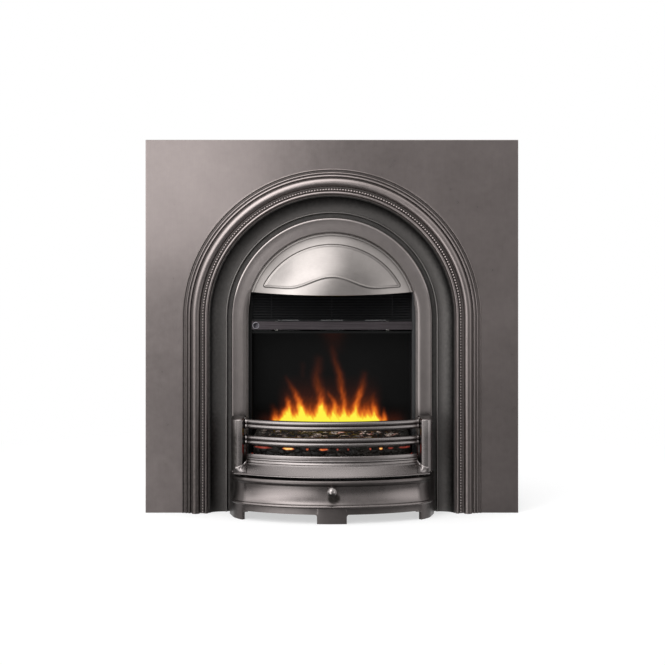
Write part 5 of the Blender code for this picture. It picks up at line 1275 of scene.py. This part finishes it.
def flame_heat(x, z):
    """Heat on the screen: for each tongue the greatest of bell curves across its line, with
    half width and heat drawn evenly between its points, swayed a little by slow sines."""
    sway = x + 0.0012 * np.sin(z * 85 + x * 30) + 0.0005 * np.sin(z * 230 - x * 90 + 1.3)
    heights = [0.20, 0.231, 0.244, 0.260, 0.276, 0.2945, 0.321, 0.350]
    body = np.interp(z, heights, [0.8, 0.70, 0.56, 0.36, 0.20, 0.10, 0.03, 0])
    hot = body * smoothstep(-0.150, -0.100, sway) * smoothstep(0.140, 0.090, sway)
    for tongue in TONGUES:
        best = np.zeros_like(x)
        for a, b in zip(tongue, tongue[1:]):
            a, b = np.array(a), np.array(b)
            run = b[:2] - a[:2]
            t = np.clip(((sway - a[0]) * run[0] + (z - a[1]) * run[1]) / (run @ run), 0, 1)
            distance = np.hypot(sway - a[0] - t * run[0], z - a[1] - t * run[1])
            width, heat = 1.12 * (a[2] + t * (b[2] - a[2])), a[3] + t * (b[3] - a[3])
            best = np.maximum(best, heat * bell(distance, 0, width))
        hot = np.maximum(hot, best) + 0.22 * np.minimum(hot, best)
    lick = 0.07 * np.sin(x * 480 + 5 * np.sin(z * 55)) * np.sin(z * 120 + x * 90)
    return np.clip(hot * (1 + lick), 0, 1.2)


def make_screen_material():
    """Black glass whose emission is a heat ramp from dark red to pale yellow."""
    material, tree, shader, coordinates = new_material("flame_glass", 0.0, 0.06)
    values = {"Tone": (0.004, 0.004, 0.004), "Roughness": 0.22, "Peel": 60.0, "Variation": 0.2}
    with_group(tree, shader, COAT_GROUP, {"Vector": coordinates}, values, 0.02, 0.0003)
    wisps = noise(tree, stretched(tree, coordinates, (75, 75, 30)), 1.0, 2.0, 0.5, 0.8)
    heat = attribute_value(tree, "flame_warmth")
    drift = math_node(tree, "MULTIPLY_ADD", math_node(tree, "SUBTRACT", wisps, 0.5), 0.5, 1.0)
    heat = math_node(tree, "MULTIPLY", heat, drift)
    heat = math_node(tree, "MULTIPLY", heat, 0.93, clamp=True)
    stops = (
        (0.00, (0.0, 0.0, 0.0)),
        (0.10, (0.026, 0.004, 0.001)),
        (0.20, (0.074, 0.012, 0.001)),
        (0.30, (0.150, 0.022, 0.002)),
        (0.42, (0.320, 0.052, 0.005)),
        (0.56, (0.600, 0.115, 0.010)),
        (0.70, (0.850, 0.235, 0.018)),
        (0.84, (0.940, 0.530, 0.030)),
        (0.97, (0.990, 0.880, 0.065)),
    )
    tree.links.new(ramp(tree, heat, stops), shader.inputs["Emission Color"])
    shader.inputs["Emission Strength"].default_value = 1.0
    return material


def make_screen():
    """The flame screen: a slab whose front is a grid, finest low down where the flames are."""
    x = np.linspace(-0.2084, 0.2084, 301)
    spans = ((0.1503, 0.20, 4), (0.20, 0.36, 120), (0.36, 0.4647, 28))
    z = np.unique(np.concatenate([np.linspace(*span) for span in spans]))
    section = joined(z, z[[-1, 0]])
    deep = joined(np.full(len(z), SCREEN_DEEP), [SCREEN_DEEP + 0.004] * 2)
    points = place(x[:, None], -deep[None], section[None])
    heat = flame_heat(*np.broadcast_arrays(x[:, None], section[None]))
    heat[:, -2:] = 0
    extra = {"flame_warmth": heat.reshape(-1)}
    glass = make_screen_material()
    make_piece("flame_panel", [carried(points)], glass, "insert", ["flame_screen"],
               extra=extra)


BED_HALF = 0.200
BED_FOOT = 0.1503
BED_RISE = 0.052
BED_TOP = 0.2
# Glowing slits low in the bed's face: place across, half width, heat
EMBERS = (
    (-0.175, 0.026, 0.42), (-0.110, 0.017, 0.95), (-0.062, 0.004, 0.60), (-0.021, 0.013, 0.70),
    (0.014, 0.003, 0.45), (0.041, 0.003, 0.40), (0.097, 0.003, 0.60), (0.124, 0.005, 0.90),
    (0.149, 0.008, 0.38), (0.186, 0.018, 0.40),
)


def make_coal_material():
    """Resin coals: black, glassy in places, with pale ash flecks on some lumps that also stand in
    as painted glints, and a glow in the crevices and in some lumps."""
    material, tree, shader, coordinates = new_material("moulded_coal", 0.0, 0.14)
    lump, ash_and_glint = attribute_value(tree, "lump"), attribute_value(tree, "ash_and_glint")
    fine = noise(tree, coordinates, 160.0, 4.0, 0.6)
    tone = mixed(tree, fine, (0.001, 0.001, 0.001), (0.010, 0.009, 0.008))
    tone = mixed(tree, math_node(tree, "MULTIPLY", lump, 0.35), tone, (0.030, 0.024, 0.019))
    flakes = noise(tree, coordinates, 240.0, 3.0, 0.6)
    flakes = math_node(tree, "MULTIPLY_ADD", flakes, 5.0, -2.1, clamp=True)
    # Pale flecks: ash, and painted glints as well.
    tone = mixed(tree, math_node(tree, "MULTIPLY", ash_and_glint, flakes), tone, (0.55, 0.46, 0.40))
    tree.links.new(tone, shader.inputs["Base Color"])
    rough = math_node(tree, "MULTIPLY_ADD", fine, 0.55, 0.10, clamp=True)
    tree.links.new(rough, shader.inputs["Roughness"])
    bumped(tree, shader, fine, 0.6, 0.0012)
    glow = attribute_value(tree, "glow")
    patch = noise(tree, coordinates, 70.0, 3.0, 0.7)
    patch = math_node(tree, "MULTIPLY_ADD", patch, 1.6, 0.1)
    glow = math_node(tree, "MULTIPLY", glow, patch, clamp=True)
    stops = (
        (0.00, (0.0, 0.0, 0.0)),
        (0.20, (0.030, 0.006, 0.004)),
        (0.45, (0.300, 0.045, 0.030)),
        (0.65, (0.750, 0.170, 0.030)),
        (0.85, (0.950, 0.500, 0.080)),
        (1.00, (0.980, 0.800, 0.350)),
    )
    tree.links.new(ramp(tree, glow, stops), shader.inputs["Emission Color"])
    shader.inputs["Emission Strength"].default_value = 1.0
    return material


def make_coals():
    """The moulded coals: a bed whose face and top are pushed out into lumps. Each point takes
    the nearest of scattered seeds: a lump is a dome round its seed, and the seam between the
    nearest two is a crevice. The run of a point goes up the face and then to the rear."""
    x = np.linspace(-BED_HALF, BED_HALF, 260)
    rise = np.linspace(0, 1, 30)
    depth = np.linspace(0, 1, 70)[1:]
    front = bow_depth(x, -0.024)
    rear = -0.092
    run_front = BED_RISE * rise
    face_x = np.broadcast_to(x[:, None], (len(x), len(rise) + len(depth)))
    upright = np.broadcast_to(front[:, None], (len(x), len(rise)))
    level = front[:, None] + (rear - front)[:, None] * depth[None]
    face_proud = joined(upright, level, axis=1)
    face_z = joined(BED_FOOT + run_front, np.full(len(depth), BED_FOOT + BED_RISE))
    face_z = np.broadcast_to(face_z[None], face_x.shape)
    run = joined(run_front, BED_RISE + BED_TOP * depth)
    run = np.broadcast_to(run[None], face_x.shape)
    draw = np.random.default_rng(7)
    seeds = draw.uniform((-0.205, -0.01), (0.205, 0.26), (520, 2))
    size = draw.uniform(0.6, 1.0, 520)
    tint = draw.uniform(0, 1, 520)
    sharp_x, sharp_s = face_x.ravel(), run.ravel()
    over_x = sharp_x[:, None] - seeds[None, :, 0]
    over_run = (sharp_s[:, None] - seeds[None, :, 1]) * 1.25
    distance = np.hypot(over_x, over_run)
    order = np.argpartition(distance, 1, axis=1)[:, :2]
    pair = np.take_along_axis(distance, order, 1)
    swap = pair[:, 0] > pair[:, 1]
    nearest = np.where(swap, order[:, 1], order[:, 0])
    first, second = pair.min(1), pair.max(1)
    seam = np.clip((second - first) / 0.006, 0, 1)
    dome = np.sqrt(np.clip(1 - (first / 0.019) ** 2, 0, 1)) * size[nearest]
    lift = (0.0085 * dome * (0.35 + 0.65 * seam**0.5)).reshape(face_x.shape)
    along = np.clip((run_front[-1] - run + 0.006) / 0.012, 0, 1)
    edge = np.minimum(1, (BED_HALF - np.abs(face_x)) / 0.004)
    floor = np.clip(run / 0.006, 0, 1)
    last = np.clip((1 - (run - BED_RISE) / BED_TOP) / 0.03, 0, 1)
    lift = lift * edge * floor * np.where(run > BED_RISE, last, 1)
    proud = face_proud + lift * along
    z = face_z + lift * (1 - along) * 1.25
    proud = joined(proud, np.full((len(x), 1), rear), front[:, None] - 0.001, axis=1)
    z = joined(z, np.full((len(x), 2), BED_FOOT), axis=1)
    wide = np.broadcast_to(x[:, None], z.shape)
    points = place(wide, proud, z)
    crevice = ((1 - seam) * (tint[nearest] > 0.72)).reshape(face_x.shape)
    lit = ((tint[nearest] > 0.93) * seam).reshape(face_x.shape)
    glow = 0.26 * crevice + 0.42 * lit
    upper = np.clip((run - 0.040) / 0.006, 0, 1)
    glow = glow * upper * smoothstep(0.185, 0.150, np.abs(face_x))
    for middle, half, heat in EMBERS:
        oval = ((face_x - middle) / half) ** 2 + ((run - 0.0272) / 0.0030) ** 2
        glow = np.maximum(glow, heat * smoothstep(1.2, 0.5, oval))
    pad = np.zeros((len(x), 2))
    # Pale ash on some lumps near the middle, serving as painted glints too.
    ash_and_glint = smoothstep(0.50, 0.62, np.abs(tint[nearest] - 0.15)) * seam
    ash_and_glint = ash_and_glint.reshape(face_x.shape) * upper * smoothstep(0.20, 0.13, np.abs(face_x))
    extra = {
        "glow": joined(glow, pad, axis=1).ravel(),
        "ash_and_glint": joined(ash_and_glint, pad, axis=1).ravel(),
        "lump": joined(tint[nearest].reshape(face_x.shape), pad, axis=1).ravel(),
    }
    coal = make_coal_material()
    make_piece("coal_bed", [carried(points)], coal, "insert", ["fuel_bed"], sharp=60,
               extra=extra)


# Fire front

def make_grille():
    """The air outlet: leaning blades with rounded noses between two rails, and uprights."""
    low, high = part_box("outlet_grille")
    front, back = FACE_Y - low.y, FACE_Y - high.y
    half, bottom, top = high.x, low.z, high.z
    shells = [
        block((-half, back, bottom), (half, front, bottom + 0.0022), 0.0006),
        block((-half, back, top - 0.0030), (half, front, top), 0.0008),
    ]
    lean = np.array([(-0.0006, 0.0004), (0.0006, -0.0004), (0.0078, 0.0074), (0.0066, 0.0082)])
    blade = rounded(lean, (0.0005, 0.0006, 0.0004, 0.0004), 4)
    for base in np.arange(bottom + 0.0030, top - 0.0110, 0.0070):
        x = np.linspace(-half + 0.0005, half - 0.0005, 9)
        points = place(x[:, None], front - 0.0016 - blade[None, :, 0], base + blade[None, :, 1])
        shells.append(carried(points))
    for middle in (-half + 0.0012, -0.158, 0.0, 0.158, half - 0.0012):
        a = (middle - 0.0008, back + 0.0004, bottom + 0.0010)
        b = (middle + 0.0008, front - 0.0034, top - 0.0010)
        shells.append(block(a, b, 0.0005))
    material = coat("grille_plastic", (0.006, 0.006, 0.0065), 0.40, 900.0, specular=0.22)
    make_piece("air_grille", shells, material, "insert", ["outlet_grille"])


def make_button():
    """The power button with a dished face, and its half-round bezel."""
    low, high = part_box("button_bezel")
    middle = rear_centre(low, high)
    outer, deep = (high.x - low.x) / 2, high.y - low.y
    t = np.linspace(0, math.pi, 11)
    inner = outer - 0.0021
    radii = outer - 0.00105 + 0.00105 * np.cos(t)
    ring = np.stack([radii, 0.0004 + (deep - 0.0004) * np.sin(t)], -1)
    ring = joined([(outer, 0.0)], ring, [(inner, 0.0)])
    metal = brushed("bezel_metal", (0.21, 0.20, 0.22), 0.34)
    ring = revolved(ring, middle, 48, True)
    make_piece("ring_bezel", [ring], metal, "insert", ["button_bezel"])

    low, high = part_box("power_button")
    centre = rear_centre(low, high)
    length, collar = high.y - low.y, (high.x - low.x) / 2
    radius = 0.0066
    step_low, step_high = length - 0.0055, length - 0.0040
    profile = [(0.0002, 0.0), (radius - 0.0003, 0.0), (radius, 0.0003), (radius, step_low)]
    profile += [(collar, step_low), (collar, step_high), (radius, step_high)]
    profile += [(radius, length - 0.0007), (radius - 0.0002, length - 0.0003)]
    profile += [(radius - 0.0008, length), (radius - 0.0016, length - 0.0002)]
    profile += [(0.0030, length - 0.0006), (0.0002, length - 0.0007)]
    dark = brushed("button_metal", (0.045, 0.042, 0.048), 0.32)
    button = revolved(profile, centre, 48)
    make_piece("push_button", [button], dark, "power_button", ["power_button"])


def make_inlet():
    """The mains inlet: a grommet with its flange, closed by a thin skin."""
    low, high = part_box("mains_inlet")
    centre = rear_centre(low, high)
    length, flange = high.y - low.y, (high.x - low.x) / 2
    neck = 0.8 * flange
    skin = length * 0.55
    profile = [(0.0002, skin), (neck * 0.6, skin), (neck * 0.62, 0.0003), (neck * 0.7, 0.0)]
    profile += [(neck - 0.0008, 0.0), (neck, 0.0008), (neck, 0.0118), (flange - 0.0005, 0.0120)]
    profile += [(flange, 0.0125), (flange, 0.0135), (flange - 0.0004, 0.0139), (neck, 0.0140)]
    profile += [(neck, length - 0.0004), (neck - 0.0006, length), (neck * 0.62, length)]
    profile += [(neck * 0.6, skin + 0.001), (0.0002, skin + 0.001)]
    grommet, plastic = revolved(profile, centre, 32), SLOT_FINISH["black_plastic"]
    make_piece("inlet_grommet", [grommet], plastic, "insert", ["mains_inlet"])


# A darker, duller copy of the black coat for the parts inside the chamber and the left screen trim:
# painted shade.
shaded_chamber_black = coat("shaded_chamber_black", (0.005, 0.005, 0.005), 0.6, 700.0, specular=0.08)
for name in ("chamber_ceiling", "heater_deck", "screen_trim_left", "fuel_tray", "light_shelf"):
    paint(name, shaded_chamber_black)

make_surround()
make_reveal()
make_frame()
make_hood()
make_bars()
make_fret_base()
make_post(-1, "post_left", "fret_post_left")
make_post(1, "post_right", "fret_post_right")
make_cover()
make_screen()
make_coals()
make_grille()
make_button()
make_inlet()


# Studio

def make_floor():
    """A plain pale floor that turns white away from the insert."""
    mesh = bpy.data.meshes.new("floor")
    x, y = np.meshgrid([-6.0, -1.6, 1.6, 6.0], [-3.2, -1.2, 1.2, 6.0], indexing="ij")
    co = np.stack([x, y, 0 * x - 0.0004], -1).reshape(-1, 3)
    mesh.from_pydata(co.tolist(), [], grid_quads(4, 4)[:, ::-1].tolist())
    floor = new_object("floor", mesh)
    material, tree, shader, coordinates = new_material("pale_floor", 0.0, 0.2)
    shader.inputs["Base Color"].default_value = (0.86, 0.86, 0.86, 1)
    shader.inputs["Roughness"].default_value = 0.7
    rays = tree.nodes.new("ShaderNodeLightPath").outputs
    seen = math_node(tree, "MAXIMUM", rays["Is Camera Ray"], rays["Is Transmission Ray"])
    length = tree.nodes.new("ShaderNodeVectorMath")
    length.operation = "LENGTH"
    tree.links.new(coordinates, length.inputs[0])
    away = eased(tree, length.outputs["Value"], 0.5, 1.7, 0.55, 1.0)
    share = math_node(tree, "MULTIPLY", seen, away)
    white = tree.nodes.new("ShaderNodeEmission")
    blend = tree.nodes.new("ShaderNodeMixShader")
    tree.links.new(share, blend.inputs[0])
    tree.links.new(shader.outputs[0], blend.inputs[1])
    tree.links.new(white.outputs[0], blend.inputs[2])
    tree.links.new(blend.outputs[0], tree.nodes["Material Output"].inputs["Surface"])
    mesh.materials.append(material)
    floor.visible_glossy = False


# Soft lights of the studio: azimuth to the right, elevation, full within, gone beyond, level
STUDIO_LIGHTS = (
    (-19, 43, 10, 29, 2.5),
    (-48, 30, 10, 26, 1.15),
    (-41, 10, 6, 15, 2.5),
    (-32, -12, 6, 25, 2.8),
    (-72, 14, 10, 26, 1.0),
    (-75, 76, 14, 42, 1.7),
    (55, 0, 9, 24, 1.25),
    (68, 40, 14, 36, 0.7),
)


def make_world():
    """White behind the insert, and a plain studio on the viewer's side: a level that falls below
    the horizon and somewhat towards the top, and soft round lights."""
    world = bpy.data.worlds.new("studio")
    bpy.context.scene.world = world
    world.use_nodes = True
    tree = world.node_tree
    back = tree.nodes["Background"]
    direction = tree.nodes.new("ShaderNodeTexCoord").outputs["Generated"]
    split = tree.nodes.new("ShaderNodeSeparateXYZ")
    tree.links.new(direction, split.inputs[0])

    _, ahead, up = split.outputs
    level = eased(tree, up, -0.24, -0.02, 0.20, 0.74)
    level = math_node(tree, "MULTIPLY", level, eased(tree, up, 0.05, 0.35, 1.0, 0.75))
    for azimuth, elevation, within, beyond, strength in STUDIO_LIGHTS:
        a, e = math.radians(azimuth), math.radians(elevation)
        toward = tree.nodes.new("ShaderNodeVectorMath")
        toward.operation = "DOT_PRODUCT"
        level_x, level_y = math.sin(a) * math.cos(e), -math.cos(a) * math.cos(e)
        toward.inputs[1].default_value = (level_x, level_y, math.sin(e))
        tree.links.new(direction, toward.inputs[0])
        near, far = math.cos(math.radians(within)), math.cos(math.radians(beyond))
        light = eased(tree, toward.outputs["Value"], far, near, 0, strength)
        level = math_node(tree, "ADD", level, light)
    rays = tree.nodes.new("ShaderNodeLightPath").outputs
    mirror = math_node(tree, "MAXIMUM", rays["Is Glossy Ray"], rays["Is Transmission Ray"])
    mirror = math_node(tree, "MULTIPLY", mirror, eased(tree, ahead, -0.10, 0.15, 0, 1))
    mirror = math_node(tree, "MULTIPLY", mirror, eased(tree, up, 0.35, 0.75, 1, 0))
    shown = math_node(tree, "MAXIMUM", rays["Is Camera Ray"], mirror)
    tree.links.new(mixed(tree, shown, level, (1, 1, 1)), back.inputs["Color"])


def add_lamp(name, location, target, width, height, power, colour=(1, 1, 1)):
    """A soft rectangular lamp aimed at a point."""
    lamp = bpy.data.lights.new(name, "AREA")
    lamp.color = colour
    lamp.shape = "RECTANGLE"
    lamp.size, lamp.size_y = width, height
    lamp.energy = power
    lamp_object = new_object(name, lamp)
    start = np.array(location)
    aim = np.array(target) - start
    yaw = math.atan2(aim[0], -aim[1])
    pitch = math.atan2(math.hypot(aim[0], aim[1]), -aim[2])
    lamp_object.rotation_euler = (pitch, 0, yaw + math.pi)
    lamp_object.location = location
    lamp_object.visible_camera = False


def make_camera():
    """The photograph's view: level, 3.7 m ahead of the plate and 0.70 m above the hearth, with
    the picture shifted down to the insert."""
    camera = bpy.data.cameras.new("camera")
    camera.sensor_width = 36
    camera.lens = 77.4
    camera.shift_x = 0.0009
    camera.shift_y = -0.1358
    camera.clip_start = 0.05
    camera_object = new_object("camera", camera)
    camera_object.location = (0, FACE_Y - 3.7, 0.70)
    camera_object.rotation_euler = (math.pi / 2, 0, 0)
    bpy.context.scene.camera = camera_object


make_floor()
make_world()
add_lamp("window", (-0.70, FACE_Y - 1.3, 1.09), (-0.70, 0, 1.09), 0.96, 0.92, 5.6)
# Red light of the coals on the inner sides of the posts
for name, side in (("ember_left", -1), ("ember_right", 1)):
    place_at, aim_at = (side * 0.204, FACE_Y - 0.036, 0.180), (side * 0.30, FACE_Y - 0.070, 0.180)
    add_lamp(name, place_at, aim_at, 0.010, 0.060, 0.0015, (1, 0.10, 0.05))
make_camera()
bpy.context.scene.view_settings.view_transform = "Standard"
